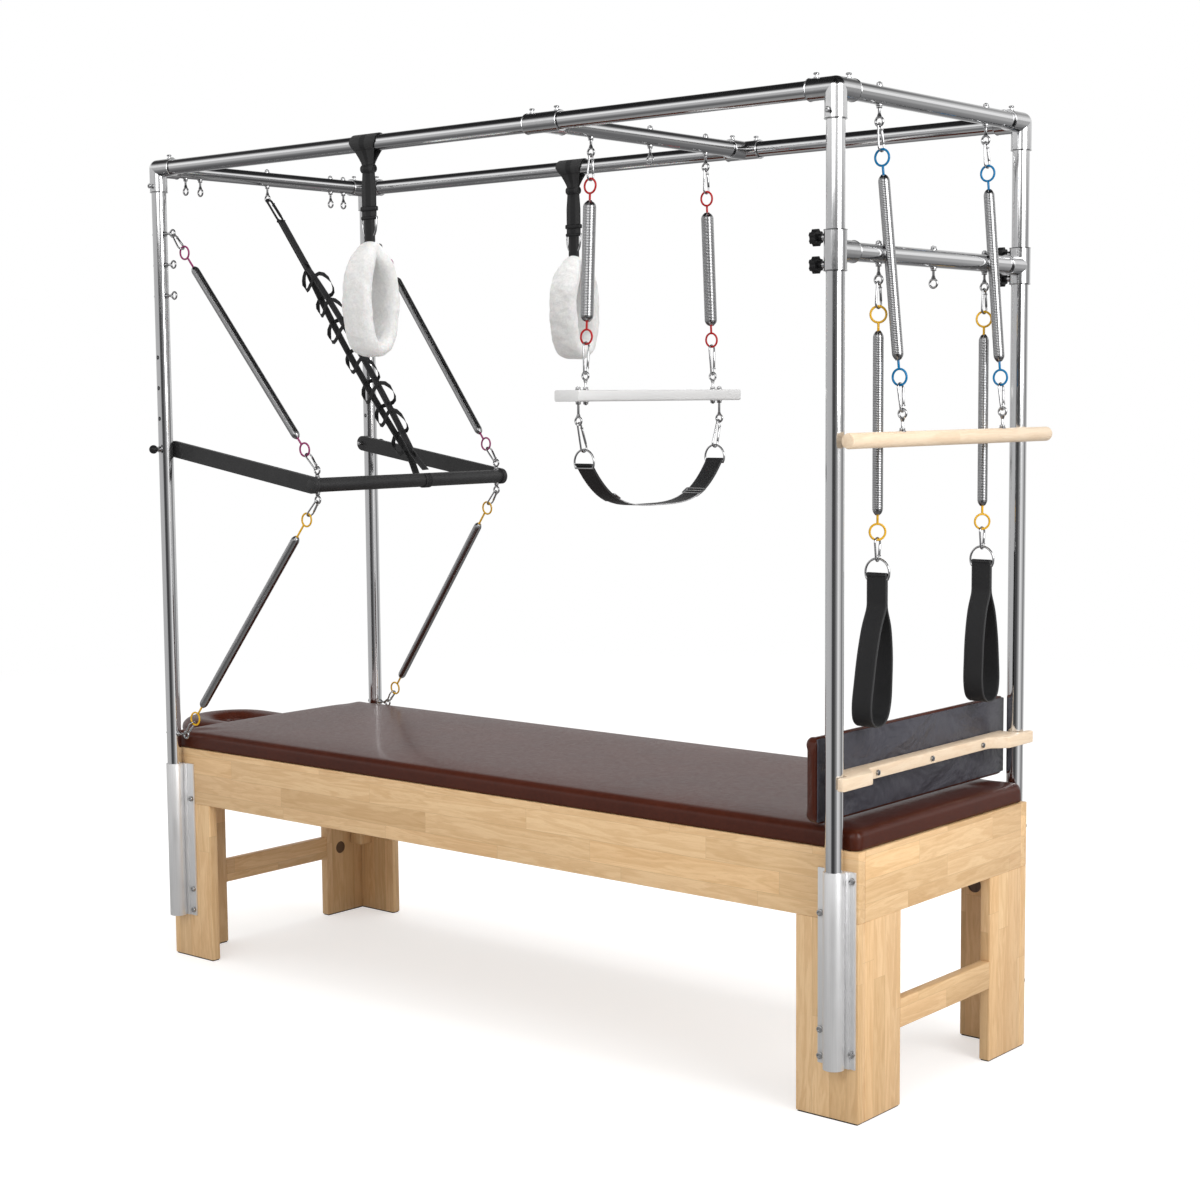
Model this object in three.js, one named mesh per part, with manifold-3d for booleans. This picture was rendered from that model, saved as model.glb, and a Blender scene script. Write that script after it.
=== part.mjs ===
// Pilates trapeze table: a wooden bed on four legs, with a canopy of steel tube that carries
// a push-through bar, a trapeze, a roll-down bar, handles, cuffs, a sling and their springs.
// Millimetres, +Z up. +X is the footboard end (right), -X the push-through bar end (left),
// -Y the near long side and +Y the far one. The floor is at z = 0.
import * as THREE from "three";
import { mergeVertices } from "three/addons/utils/BufferGeometryUtils.js";
import Module from "manifold-3d";

const wasm = await Module();
wasm.setup();

// Clearances
const FIT = 0.3; // between neighbours that don't move
const RUN = 0.6; // a sleeve that slides on a tube
const HANG_GAP = 0.7; // between a hook and the eye that it hangs in
const SINK = 1.5; // how far joined shapes reach into each other
const OVERRUN = 4; // how far a cut runs past a face

// Bed
const BED_LENGTH = 2200;
const BED_WIDTH = 698;
const BED_TOP = 570;
const BOARD = 25;
const RAIL_HEIGHT = 148;
const LEG_SIDE_WIDTH = 155;
const LEG_END_WIDTH = 162;
const CORNER_POST = 45;
const CORNER_POST_FOOT = 200;
const STRETCHER_LOW = 169;
const STRETCHER_HEIGHT = 62;
const DECK_THICKNESS = 18;
const BEARER_WIDTH = 40;
const BEARER_HEIGHT = 60;

// Mat
const MAT_THICKNESS = 46;
const MAT_CROWN = 4;
const MAT_CORNER_RADIUS = 22;
const MAT_EDGE_RADIUS = 16;
const MAT_DRAW_IN = 3;

// Head cradle at the left end
const CRADLE_REACH = 152;
const CRADLE_BEND_RADIUS = 101;
const CRADLE_ROLL_WIDTH = 90;
const CRADLE_ROLL_HEIGHT = 44;
const CRADLE_BOARD = 12;
const CRADLE_BOARD_MARGIN = 14;
const CRADLE_GAP_TO_MAT = 12;
const CRADLE_ROD_RADIUS = 8;
const CRADLE_ROD_Z = 529;
const CRADLE_ROD_INSIDE = 50;

// Canopy tubes
const TUBE_RADIUS = 19;
const TUBE_WALL = 1.5;
const UPRIGHT_INSET = 45; // from the bed's end to an upright's axis
const UPRIGHT_X = BED_LENGTH / 2 - UPRIGHT_INSET;
const UPRIGHT_STANDOFF = 23; // from the bed's side to an upright's axis
const UPRIGHT_Y = BED_WIDTH / 2 + UPRIGHT_STANDOFF;
const CANOPY_Z = 2099;
const CROSS_X = 290;
const SLEEVE_WALL = 3.2;
const CORNER_SLEEVE_REACH = 62;
const TUBE_END_GAP = 24;
const TEE_SLEEVE_LENGTH = 100;
const TEE_STUB_REACH = 62;

// Sockets that hold the uprights on the bed's long sides
const SOCKET_LOW = 118;
const SOCKET_RIM_DROP = 40; // from the bed's top to a socket's rim
const SOCKET_HEIGHT = BED_TOP - SOCKET_RIM_DROP - SOCKET_LOW;
const SOCKET_FLOOR = 10;
const SOCKET_WALL = 3.2;
const SOCKET_PLATE = 5;
const SOCKET_WING_INBOARD = 52;
const SOCKET_WING_OUTBOARD = 40;

// Holes and eye bolts in the left uprights
const HOLE_PITCH = 80;
const PIVOT_DROP = 729;
const PIVOT_Z = CANOPY_Z - PIVOT_DROP;
const SPARE_HOLES = 3;
const FIRST_EYE_STEP = 5;
const UPRIGHT_EYES = 3;
const LOW_EYE_RISE = 42;
const LOW_EYE_Z = BED_TOP + LOW_EYE_RISE;

// Eye bolts
const EYE_RADIUS = 9;
const EYE_WIRE = 2.4;
const EYE_REACH = 52;
const SHANK_RADIUS = 3;
const NUT_RADIUS = 7.5;
const NUT_HEIGHT = 6;
const HANG_Y = 214;
const LEFT_EYES_Y = [-283, -234, 0, 234, 283];

// Slide bar and its star knobs
const SLIDE_BAR_DROP = 317;
const SLIDE_BAR_Z = CANOPY_Z - SLIDE_BAR_DROP;
const SLIDE_SLEEVE_LENGTH = 80;
const SLIDE_SLEEVE_WALL = 3.6;
const KNOB_SPACING = 54;
const KNOB_RADIUS = 17;
const KNOB_LOBE = 3;
const KNOB_LOBES = 6;
const KNOB_THICKNESS = 14;
const KNOB_HUB_RADIUS = 7;
const KNOB_STANDOFF = 46;
const KNOB_CENTRE_X = UPRIGHT_X - KNOB_STANDOFF;
const KNOB_HUB_STANDOFF = 30;
const KNOB_HUB_END_X = UPRIGHT_X - KNOB_HUB_STANDOFF;
const KNOB_SCREW_RADIUS = 4;

// Push-through bar
const PUSH_REACH = 538;
const PUSH_CORNER_X = PUSH_REACH - UPRIGHT_X;
const PUSH_SLOPE_DROP = 86;
const PUSH_CORNER_Z = PIVOT_Z - PUSH_SLOPE_DROP;
const ARM_INSET = 22;
const ARM_OUTER_Y = UPRIGHT_Y - ARM_INSET;
const ARM_THICKNESS = 12;
const ARM_HALF_WIDTH = 21;
const PUSH_TUBE_RADIUS = 18;
const PUSH_TUBE_WALL = 2;
const PUSH_VENT_RADIUS = 2.5;
const PUSH_EYE_INSET = 44;
const PUSH_EYE_Y = UPRIGHT_Y - PUSH_EYE_INSET;
const PUSH_EYE_REACH = 37;
const PIN_RADIUS = 5;
const PIN_INSET = 50;
const PIN_INNER_Y = UPRIGHT_Y - PIN_INSET;
const PIN_BALL_STANDOFF = 41;
const PIN_BALL_Y = UPRIGHT_Y + PIN_BALL_STANDOFF;
const PIN_BALL_RADIUS = 11.5;
const PIN_COLLAR_RADIUS = 8;

// Springs, with a snap hook at each end
const HOOK_WIRE = 2;
const HOOK_REACH = 76;
const SLING_HOOK_SINK = 1.2; // how far the sling's hooks reach into its rings
const COIL_SINK = 0.7; // how far a coil's end reaches past the middle of its hook's wire
const HOOK_HALF_WIDTH = 9;
const NECK = 20;
const SPRING_WIRE = 2.4;
const PUSH_COIL_RADIUS = 8.6;
const TRAPEZE_COIL_RADIUS = 11;
const BLUE_COIL_RADIUS = 8;
const YELLOW_COIL_RADIUS = 8.6;
const CURL_STEPS = 8;
const CURL_SIDES = 5;
const LONG_SPRING_CURLS = 5;
const SHORT_SPRING_CURLS = 5;
const COIL_RAMP_SHARE = 0.75; // of a curl, in which a coil grows to its full radius

// Trapeze and sling
const TRAPEZE_DROP = 586;
const TRAPEZE_TOP = CANOPY_Z - TRAPEZE_DROP;
const TRAPEZE_BAR_HEIGHT = 26;
const TRAPEZE_BAR_DEPTH = 72;
const TRAPEZE_BAR_LENGTH = 614;
const TRAPEZE_EYE_RISE = 32;
const TRAPEZE_EYE_Z = TRAPEZE_TOP + TRAPEZE_EYE_RISE;
const TRAPEZE_EYE_SPREAD = 26; // of each spring's lower end from its upper one
const TRAPEZE_EYE_Y = HANG_Y + TRAPEZE_EYE_SPREAD;
const SLING_EYE_Y = 266;
const SLING_EYE_DROP = 70;
const SLING_EYE_Z = TRAPEZE_TOP - SLING_EYE_DROP;
const SLING_RING_Y = 247;
const SLING_RING_DROP = 65;
const SLING_RING_Z = SLING_EYE_Z - SLING_RING_DROP;
const SLING_SAG = 135;
const SLING_LOW_Z = SLING_RING_Z - SLING_SAG;
const SLING_THICKNESS = 6;
const SLING_SWING_GAP = 0.7; // more room for its hooks, which swing in the bar's eyes
const DRING_RADIUS = 29;
const DRING_WIRE = 2.2;
const DRING_DEPTH = 8;
const WEBBING = 50;

// Roll-down bar
const ROLL_RADIUS = 16;
const ROLL_OVERHANG = 36;
const ROLL_HALF_LENGTH = UPRIGHT_Y + ROLL_OVERHANG;
const ROLL_DROP = 693;
const ROLL_Z = CANOPY_Z - ROLL_DROP;
const ROLL_EYE_RISE = 52;
const ROLL_EYE_Z = ROLL_Z + ROLL_EYE_RISE;
const ROLL_OUT = 53;
const ROLL_X = UPRIGHT_X + ROLL_OUT;
const ROLL_EYE_INSET = 9;
const ROLL_EYE_Y = HANG_Y - ROLL_EYE_INSET;
const ROLL_LEAN_OUT = 16; // how far out its springs lie one hook below their eyes
const ROLL_LEAN_X = UPRIGHT_X + ROLL_LEAN_OUT;

// Handles on the slide bar
const HANDLE_CLEARANCE = 192; // from the mat up to the handles
const HANDLE_LOW_Z = BED_TOP + MAT_THICKNESS + MAT_CROWN + HANDLE_CLEARANCE;
const HANDLE_LENGTH = 319;
const HANDLE_RING_Z = HANDLE_LOW_Z + HANDLE_LENGTH;
const HANDLE_NECK_LENGTH = 96;
const HANDLE_LOOP_HALF_WIDTH = 30;
const HANDLE_THICKNESS = 7;

// Fleece cuffs on the long tubes
const CUFF_X = -272;
const CUFF_STRAP = 3;
const CUFF_JOIN_DROP = 53;
const CUFF_STRAP_JOIN_Z = CANOPY_Z - CUFF_JOIN_DROP;
const CUFF_STRAP_THICKNESS = 8;
const CUFF_DROP = 227;
const CUFF_TOP_Z = CANOPY_Z - CUFF_DROP;
const CUFF_HEIGHT = 276;
const CUFF_LOW_Z = CUFF_TOP_Z - CUFF_HEIGHT;
const CUFF_WIDTH = 95;
const CUFF_PILE = 30;
const CUFF_HALF_SPAN = 64;
const WRAP_TURN_SHARE = 0.75; // of a full turn that the webbing bends round the tube

// Safety strap from the left end tube to the push-through bar
const SAFETY_TOP_OUT = 52;
const SAFETY_TOP_X = SAFETY_TOP_OUT - UPRIGHT_X;
const SAFETY_TOP_DROP = 114;
const SAFETY_TOP_Z = CANOPY_Z - SAFETY_TOP_DROP;
const SAFETY_LOW_Y = 52;
const SAFETY_WIDTH = 25;
const SAFETY_THICKNESS = 3;
const SAFETY_LOOPS = 6;
const SAFETY_LOOP_HEIGHT = 26;
const SAFETY_HOOK_HALF_WIDTH = 8;

// Footboard
const PAD_INSET = 30;
const PAD_BACK_X = UPRIGHT_X - PAD_INSET;
const PAD_THICKNESS = 45;
const PAD_OVERHANG = 16;
const PAD_WIDTH = 2 * (UPRIGHT_Y + PAD_OVERHANG);
const PAD_RISE = 188;
const PAD_TOP = BED_TOP + MAT_THICKNESS + MAT_CROWN + PAD_RISE;
const PAD_CROWN = 4;
const PAD_CORNER_RADIUS = 20;
const PAD_EDGE_RADIUS = 14;
const PAD_DRAW_IN = 3;
const BAR_DROP = 107;
const BAR_LOW = PAD_TOP - BAR_DROP;
const BAR_HEIGHT = 26;
const BAR_FRONT_OUT = 37;
const BAR_FRONT_X = UPRIGHT_X + BAR_FRONT_OUT;
const BAR_MIDDLE_OUT = 4;
const BAR_MIDDLE_X = UPRIGHT_X + BAR_MIDDLE_OUT;
const BAR_OVERHANG = 21;
const BAR_HALF_LENGTH = UPRIGHT_Y + BAR_OVERHANG;
const BAR_STEP_INSET = 89;
const BAR_STEP_OUTER_Y = UPRIGHT_Y - BAR_STEP_INSET;
const BAR_STEP_WIDTH = 34;
const BAR_STEP_INNER_Y = BAR_STEP_OUTER_Y - BAR_STEP_WIDTH;
const BAR_NOTCH_GAP = 2; // between its notches and the uprights
const BAR_NOTCH_Y = UPRIGHT_Y - TUBE_RADIUS - BAR_NOTCH_GAP;
const BAR_BOLT_SPACING = 217;
const BAR_BOLT_RADIUS = 5;
const BAR_BOLT_HEAD = 4;

// Facets
const TUBE_SIDES = 12;
const ROD_SIDES = 6;
const SHANK_SIDES = 4;
const EYE_STEPS = 6;
const SWING_EYE_STEPS = 12; // of the eyes in which the sling's hooks swing
const EYE_SIDES = 4;
const BALL_STEPS = 10;
const HALF_TURN_STEPS = 4;
const HOOK_STEPS = 2;
const CORNER_STEPS = 3;
const SIDE_STEPS = 4;

// Finishes
const finish = (color, roughness, metalness) =>
  new THREE.MeshStandardMaterial({ color, roughness, metalness });
const rubberwood = finish(0xdfb884, 0.5, 0);
const beech = finish(0xebcaa3, 0.5, 0);
const plywood = finish(0xcfa874, 0.6, 0);
const leather = finish(0x47201a, 0.35, 0);
const polishedSteel = finish(0xcfd2d6, 0.15, 1);
const springSteel = finish(0x9a9ca0, 0.3, 1);
const aluminium = finish(0xc9ccd0, 0.35, 1);
const blackPaint = finish(0x2a2b2d, 0.55, 0.2);
const silverPaint = finish(0xe2e3e5, 0.4, 0.3);
const webbing = finish(0x1b1b1d, 0.9, 0);
const fleece = finish(0xdcdcda, 1, 0);
const blackPlastic = finish(0x151516, 0.5, 0);

const UP = new THREE.Vector3(0, 0, 1);
const ALONG = new THREE.Vector3(1, 0, 0);
const ACROSS = new THREE.Vector3(0, 1, 0);
const at = (x, y, z) => new THREE.Vector3(x, y, z);
const bedEnd = BED_LENGTH / 2;
const bedSide = BED_WIDTH / 2;
const railLow = BED_TOP - RAIL_HEIGHT;
const deckLow = BED_TOP - DECK_THICKNESS;

// A closed geometry as a solid that can be joined and cut.
function solid(geometry) {
  const bare = new THREE.BufferGeometry();
  bare.setAttribute("position", geometry.getAttribute("position"));
  if (geometry.index) bare.setIndex(geometry.index);
  const merged = mergeVertices(bare, 1e-3);
  const vertProperties = Float32Array.from(merged.attributes.position.array);
  const triVerts = Uint32Array.from(merged.index.array);
  return new wasm.Manifold(new wasm.Mesh({ numProp: 3, vertProperties, triVerts }));
}

// The solid as a geometry again.
function shape(piece) {
  const { vertProperties, triVerts } = piece.getMesh();
  const geometry = new THREE.BufferGeometry();
  geometry.setAttribute("position", new THREE.BufferAttribute(vertProperties, 3));
  geometry.setIndex(new THREE.BufferAttribute(triVerts, 1));
  return geometry;
}

const join = (...pieces) => pieces.reduce((sum, piece) => sum.add(piece));
const cut = (piece, ...tools) => tools.reduce((left, tool) => left.subtract(tool), piece);

// A box between two corners.
function block(low, high) {
  const size = high.clone().sub(low);
  const geometry = new THREE.BoxGeometry(size.x, size.y, size.z);
  const middle = low.clone().add(high).multiplyScalar(0.5);
  return solid(geometry.translate(middle.x, middle.y, middle.z));
}

// A round bar from one point to another.
function rod(from, to, radius, sides = TUBE_SIDES) {
  const run = to.clone().sub(from);
  const geometry = new THREE.CylinderGeometry(radius, radius, run.length(), sides);
  geometry.applyQuaternion(new THREE.Quaternion().setFromUnitVectors(ACROSS, run.normalize()));
  const middle = from.clone().add(to).multiplyScalar(0.5);
  return solid(geometry.translate(middle.x, middle.y, middle.z));
}

// The radius of a faceted hole in which a faceted rod of the given radius can turn.
const turningBore = (radius) => (radius + FIT) / Math.cos(Math.PI / ROD_SIDES);

// A length of tube, open at both ends.
function pipe(from, to, radius, wall) {
  const past = to.clone().sub(from).setLength(OVERRUN);
  const bore = rod(from.clone().sub(past), to.clone().add(past), radius - wall);
  return cut(rod(from, to, radius), bore);
}

// The corners of a round section, the first one pointing along the first axis.
function roundSection(radius, sides) {
  const corners = [];
  for (let k = 0; k < sides; k++) {
    const angle = (2 * Math.PI * k) / sides;
    corners.push([radius * Math.cos(angle), radius * Math.sin(angle)]);
  }
  return corners;
}

// A flat section: thickness along the first axis, width along the second.
function flatSection(thickness, width) {
  const half = [thickness / 2, width / 2];
  return [
    [half[0], -half[1]],
    [half[0], half[1]],
    [-half[0], half[1]],
    [-half[0], -half[1]],
  ];
}

// A section swept along a path. Its second axis stays as near to normal as the path allows.
function sweep(path, section, normal, closed = false) {
  const count = path.length;
  const sides = section.length;
  const position = [];
  const index = [];
  let second = normal.clone();
  path.forEach((point, i) => {
    const before = path[closed ? (i + count - 1) % count : Math.max(i - 1, 0)];
    const after = path[closed ? (i + 1) % count : Math.min(i + 1, count - 1)];
    const tangent = after.clone().sub(before).normalize();
    second = second.clone().addScaledVector(tangent, -second.dot(tangent)).normalize();
    const first = tangent.clone().cross(second);
    for (const [u, v] of section) {
      const corner = point.clone().addScaledVector(first, u).addScaledVector(second, v);
      position.push(corner.x, corner.y, corner.z);
    }
  });
  const rings = closed ? count : count - 1;
  for (let i = 0; i < rings; i++) {
    const here = i * sides;
    const next = ((i + 1) % count) * sides;
    for (let k = 0; k < sides; k++) {
      const l = (k + 1) % sides;
      index.push(here + k, next + k, next + l, here + k, next + l, here + l);
    }
  }
  const last = (count - 1) * sides;
  for (let k = 1; !closed && k < sides - 1; k++)
    index.push(0, k, k + 1, last, last + k + 1, last + k);
  const geometry = new THREE.BufferGeometry();
  geometry.setAttribute("position", new THREE.Float32BufferAttribute(position, 3));
  return solid(geometry.setIndex(index));
}

// Points round an oval loop. The first one lies along the first axis.
function ovalLoop(centre, first, second, reachFirst, reachSecond, steps) {
  const loop = [];
  for (let k = 0; k < steps; k++) {
    const angle = (2 * Math.PI * k) / steps;
    const point = centre.clone().addScaledVector(first, reachFirst * Math.cos(angle));
    loop.push(point.addScaledVector(second, reachSecond * Math.sin(angle)));
  }
  return loop;
}

// A wire ring in the plane across the given normal, with a corner along load.
function wireRing(centre, load, normal, radius, wire, steps = EYE_STEPS) {
  const other = normal.clone().cross(load).normalize();
  const loop = ovalLoop(centre, load, other, radius, radius, steps);
  return sweep(loop, roundSection(wire, EYE_SIDES), load.clone().cross(other), true);
}

// An eye bolt: ring, shank from the ring to its end, and a nut from one point to another.
function eyeBolt(eye, shankEnd, load, nutStart, nutEnd, steps = EYE_STEPS) {
  const root = eye.clone().addScaledVector(towards(eye, shankEnd), EYE_RADIUS - SINK);
  return join(
    wireRing(eye, load, ACROSS, EYE_RADIUS, EYE_WIRE, steps),
    rod(root, shankEnd, SHANK_RADIUS, SHANK_SIDES),
    rod(nutStart, nutEnd, NUT_RADIUS, ROD_SIDES));
}

// An eye bolt on a tube: the ring hangs on one side and the nut sits on the other.
function tubeEye(tubePoint, towardsEye, load) {
  const along = (distance) => tubePoint.clone().addScaledVector(towardsEye, distance);
  const wall = TUBE_RADIUS - TUBE_WALL / 2;
  const ring = wireRing(along(EYE_REACH), load, ACROSS, EYE_RADIUS, EYE_WIRE);
  const shank = rod(along(EYE_REACH - EYE_RADIUS + SINK), along(wall), SHANK_RADIUS, SHANK_SIDES);
  const nut = rod(along(-wall), along(-TUBE_RADIUS - NUT_HEIGHT), NUT_RADIUS, ROD_SIDES);
  return join(ring, shank, nut);
}

// Where a hook's wire lies when it hangs in an eye.
const hookSeat = (radius, wire) => radius - wire - HOOK_WIRE - HANG_GAP;

// A long wire loop between two points, such as a snap hook.
function hook(from, to, across, halfWidth) {
  const along = to.clone().sub(from);
  const reach = along.length();
  along.normalize();
  const side = across.clone().addScaledVector(along, -across.dot(along)).normalize();
  const loop = [];
  for (const [turn, middle] of [[0, reach - halfWidth], [Math.PI, halfWidth]]) {
    for (let k = 0; k <= HOOK_STEPS; k++) {
      const angle = turn + Math.PI * (k / HOOK_STEPS - 1 / 2);
      const point = from.clone().addScaledVector(along, middle + halfWidth * Math.cos(angle));
      loop.push(point.addScaledVector(side, halfWidth * Math.sin(angle)));
    }
  }
  return sweep(loop, roundSection(HOOK_WIRE, EYE_SIDES), along.clone().cross(side), true);
}

let leastCoilGap = Infinity;

// A coil between two points: a straight neck, curls that grow to their radius, and a neck.
function coil(from, to, radius, curls) {
  const axis = to.clone().sub(from);
  const run = axis.length() - 2 * NECK;
  axis.normalize();
  const first = ACROSS.clone().addScaledVector(axis, -ACROSS.dot(axis)).normalize();
  const second = axis.clone().cross(first);
  const path = [from.clone(), from.clone().addScaledVector(axis, NECK / 2)];
  const steps = curls * CURL_STEPS;
  for (let k = 0; k <= steps; k++) {
    const turns = k / CURL_STEPS;
    const reach = radius * Math.min(1, turns / COIL_RAMP_SHARE, (curls - turns) / COIL_RAMP_SHARE);
    const point = from.clone().addScaledVector(axis, NECK + (run * k) / steps);
    point.addScaledVector(first, reach * Math.cos(2 * Math.PI * turns));
    path.push(point.addScaledVector(second, reach * Math.sin(2 * Math.PI * turns)));
  }
  path.push(to.clone().addScaledVector(axis, -NECK / 2), to.clone());
  path.forEach((point, i) => {
    for (let j = i + CURL_STEPS / 2; j < path.length; j++)
      leastCoilGap = Math.min(leastCoilGap, point.distanceTo(path[j]) - 2 * SPRING_WIRE);
  });
  return sweep(path, roundSection(SPRING_WIRE, CURL_SIDES), first.clone().add(second));
}

// A spring with its hooks, from one eye to another. Each eye is { at, radius, wire, lean },
// where lean is the way that the hook points from the eye.
function springLink(top, bottom, radius, curls) {
  const hooks = [];
  const hookEnds = [];
  for (const { at: eye, radius: eyeRadius, wire, lean } of [top, bottom]) {
    const seat = eye.clone().addScaledVector(lean, hookSeat(eyeRadius, wire));
    const end = seat.clone().addScaledVector(lean, HOOK_REACH);
    hooks.push(hook(seat, end, ACROSS, HOOK_HALF_WIDTH));
    hookEnds.push(end.clone().addScaledVector(lean, -COIL_SINK));
  }
  return join(coil(...hookEnds, radius, curls), ...hooks);
}

// A D-shaped ring whose straight side is along +X and lowest.
function dRing(top, down) {
  const side = ALONG.clone();
  const loop = [];
  const centre = top.clone().addScaledVector(down, DRING_RADIUS);
  for (let k = 0; k <= EYE_STEPS; k++) {
    const angle = (Math.PI * k) / EYE_STEPS;
    const point = centre.clone().addScaledVector(side, DRING_RADIUS * Math.cos(angle));
    loop.push(point.addScaledVector(down, -DRING_RADIUS * Math.sin(angle)));
  }
  for (const way of [-1, 1]) {
    const foot = centre.clone().addScaledVector(side, way * DRING_RADIUS);
    loop.push(foot.addScaledVector(down, DRING_DEPTH));
  }
  return sweep(loop, roundSection(DRING_WIRE, EYE_SIDES), side.clone().cross(down), true);
}

// A cushion lying on z = 0: flat below, rounded and drawn-in sides, crowned top.
function cushion(length, width, thickness, crown, cornerRadius, edgeRadius, drawIn) {
  const levels = [
    [edgeRadius / 4, 0],
    [0, edgeRadius / 2],
    [0, thickness - edgeRadius],
    [edgeRadius / 4, thickness - edgeRadius / 3],
    [edgeRadius, thickness],
    [width / 6, thickness + crown * 0.6],
    [width / 3, thickness + crown],
  ];
  const position = [];
  const index = [];
  const outline = (inset) => {
    const half = [length / 2 - inset, width / 2 - inset];
    const radius = Math.max(cornerRadius - inset, cornerRadius / 4);
    const corners = [[1, 1], [-1, 1], [-1, -1], [1, -1]];
    const points = [];
    corners.forEach(([sx, sy], c) => {
      const middle = [sx * (half[0] - radius), sy * (half[1] - radius)];
      for (let k = 0; k <= CORNER_STEPS; k++) {
        const angle = (Math.PI / 2) * (c + k / CORNER_STEPS);
        points.push([middle[0] + radius * Math.cos(angle), middle[1] + radius * Math.sin(angle)]);
      }
      const next = corners[(c + 1) % 4];
      const to = [next[0] * (half[0] - radius), next[1] * (half[1] - radius)];
      const angle = (Math.PI / 2) * (c + 1);
      for (let k = 1; k < SIDE_STEPS; k++) {
        const share = k / SIDE_STEPS;
        const reach = radius - drawIn * Math.sin(Math.PI * share);
        points.push([
          middle[0] + (to[0] - middle[0]) * share + reach * Math.cos(angle),
          middle[1] + (to[1] - middle[1]) * share + reach * Math.sin(angle),
        ]);
      }
    });
    return points;
  };
  let count = 0;
  for (const [inset, height] of levels) {
    const points = outline(inset);
    count = points.length;
    for (const [x, y] of points) position.push(x, y, height);
  }
  const bottom = levels.length * count;
  position.push(0, 0, 0, 0, 0, thickness + crown);
  const highest = (levels.length - 1) * count;
  for (let k = 0; k < count; k++) {
    const l = (k + 1) % count;
    index.push(bottom, l, k, bottom + 1, highest + k, highest + l);
    for (let i = 0; i < levels.length - 1; i++) {
      const here = i * count;
      const above = here + count;
      index.push(here + k, here + l, above + l, here + k, above + l, above + k);
    }
  }
  const geometry = new THREE.BufferGeometry();
  geometry.setAttribute("position", new THREE.Float32BufferAttribute(position, 3));
  return geometry.setIndex(index);
}

// An outline in the XY plane raised between two heights.
function plate(points, low, high) {
  const outline = new THREE.Shape(points.map(([x, y]) => new THREE.Vector2(x, y)));
  const geometry = new THREE.ExtrudeGeometry(outline, { depth: high - low, bevelEnabled: false });
  return solid(geometry.translate(0, 0, low));
}

const bed = new THREE.Group();
const canopy = new THREE.Group();
const apparatus = new THREE.Group();

function add(group, name, piece, material) {
  const mesh = new THREE.Mesh(piece.isBufferGeometry ? piece : shape(piece), material);
  mesh.name = name;
  group.add(mesh);
}

const sides = [["near", -1], ["far", 1]];
const ends = [["left", -1], ["right", 1]];

// The box between mirrored corners: sx and sy choose the end and the side.
function mirroredBlock(sx, sy, low, high) {
  const xs = [sx * low.x, sx * high.x].sort((a, b) => a - b);
  const ys = [sy * low.y, sy * high.y].sort((a, b) => a - b);
  return block(at(xs[0], ys[0], low.z), at(xs[1], ys[1], high.z));
}

function sideRail(sy) {
  const inner = bedSide - BOARD;
  return mirroredBlock(1, sy, at(-bedEnd, inner, railLow), at(bedEnd, bedSide, BED_TOP));
}

function endRail(sx) {
  const inner = bedSide - BOARD;
  const rail = mirroredBlock(sx, 1, at(bedEnd - BOARD, -inner, railLow), at(bedEnd, inner, BED_TOP));
  if (sx > 0) return rail;
  const holes = sides.map(([, sy]) => {
    const hole = at(-bedEnd - OVERRUN, sy * CRADLE_BEND_RADIUS, CRADLE_ROD_Z);
    return rod(hole, hole.clone().setX(-bedEnd + BOARD + OVERRUN), CRADLE_ROD_RADIUS + FIT, ROD_SIDES);
  });
  return cut(rail, ...holes);
}

// A leg: a side board and an end board in an L, and a post in its corner that carries the deck.
function leg(sx, sy) {
  const innerX = bedEnd - BOARD;
  const innerY = bedSide - BOARD;
  const sideBoard = mirroredBlock(
    sx, sy, at(bedEnd - LEG_SIDE_WIDTH, innerY, 0), at(bedEnd, bedSide, railLow));
  const endBoard = mirroredBlock(
    sx, sy, at(innerX, bedSide - LEG_END_WIDTH, 0), at(bedEnd, bedSide, railLow));
  const postLow = at(innerX - CORNER_POST, innerY - CORNER_POST, CORNER_POST_FOOT);
  const foot = mirroredBlock(sx, sy, postLow, at(innerX + SINK, innerY + SINK, railLow));
  const post = mirroredBlock(sx, sy, postLow, at(innerX, innerY, deckLow));
  return join(sideBoard, endBoard, foot, post);
}

function stretcher(sx) {
  const half = bedSide - LEG_END_WIDTH;
  const top = STRETCHER_LOW + STRETCHER_HEIGHT;
  return mirroredBlock(sx, 1, at(bedEnd - BOARD, -half, STRETCHER_LOW), at(bedEnd, half, top));
}

function deckBoard() {
  const half = at(bedEnd - BOARD, bedSide - BOARD, 0);
  return block(at(-half.x, -half.y, deckLow), at(half.x, half.y, BED_TOP));
}

function deckBearer() {
  const half = bedSide - BOARD;
  const low = deckLow - BEARER_HEIGHT;
  return block(at(-BEARER_WIDTH / 2, -half, low), at(BEARER_WIDTH / 2, half, deckLow));
}

function mat() {
  const form = cushion(
    BED_LENGTH, BED_WIDTH, MAT_THICKNESS, MAT_CROWN, MAT_CORNER_RADIUS, MAT_EDGE_RADIUS, MAT_DRAW_IN);
  return form.translate(0, 0, BED_TOP);
}

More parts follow.
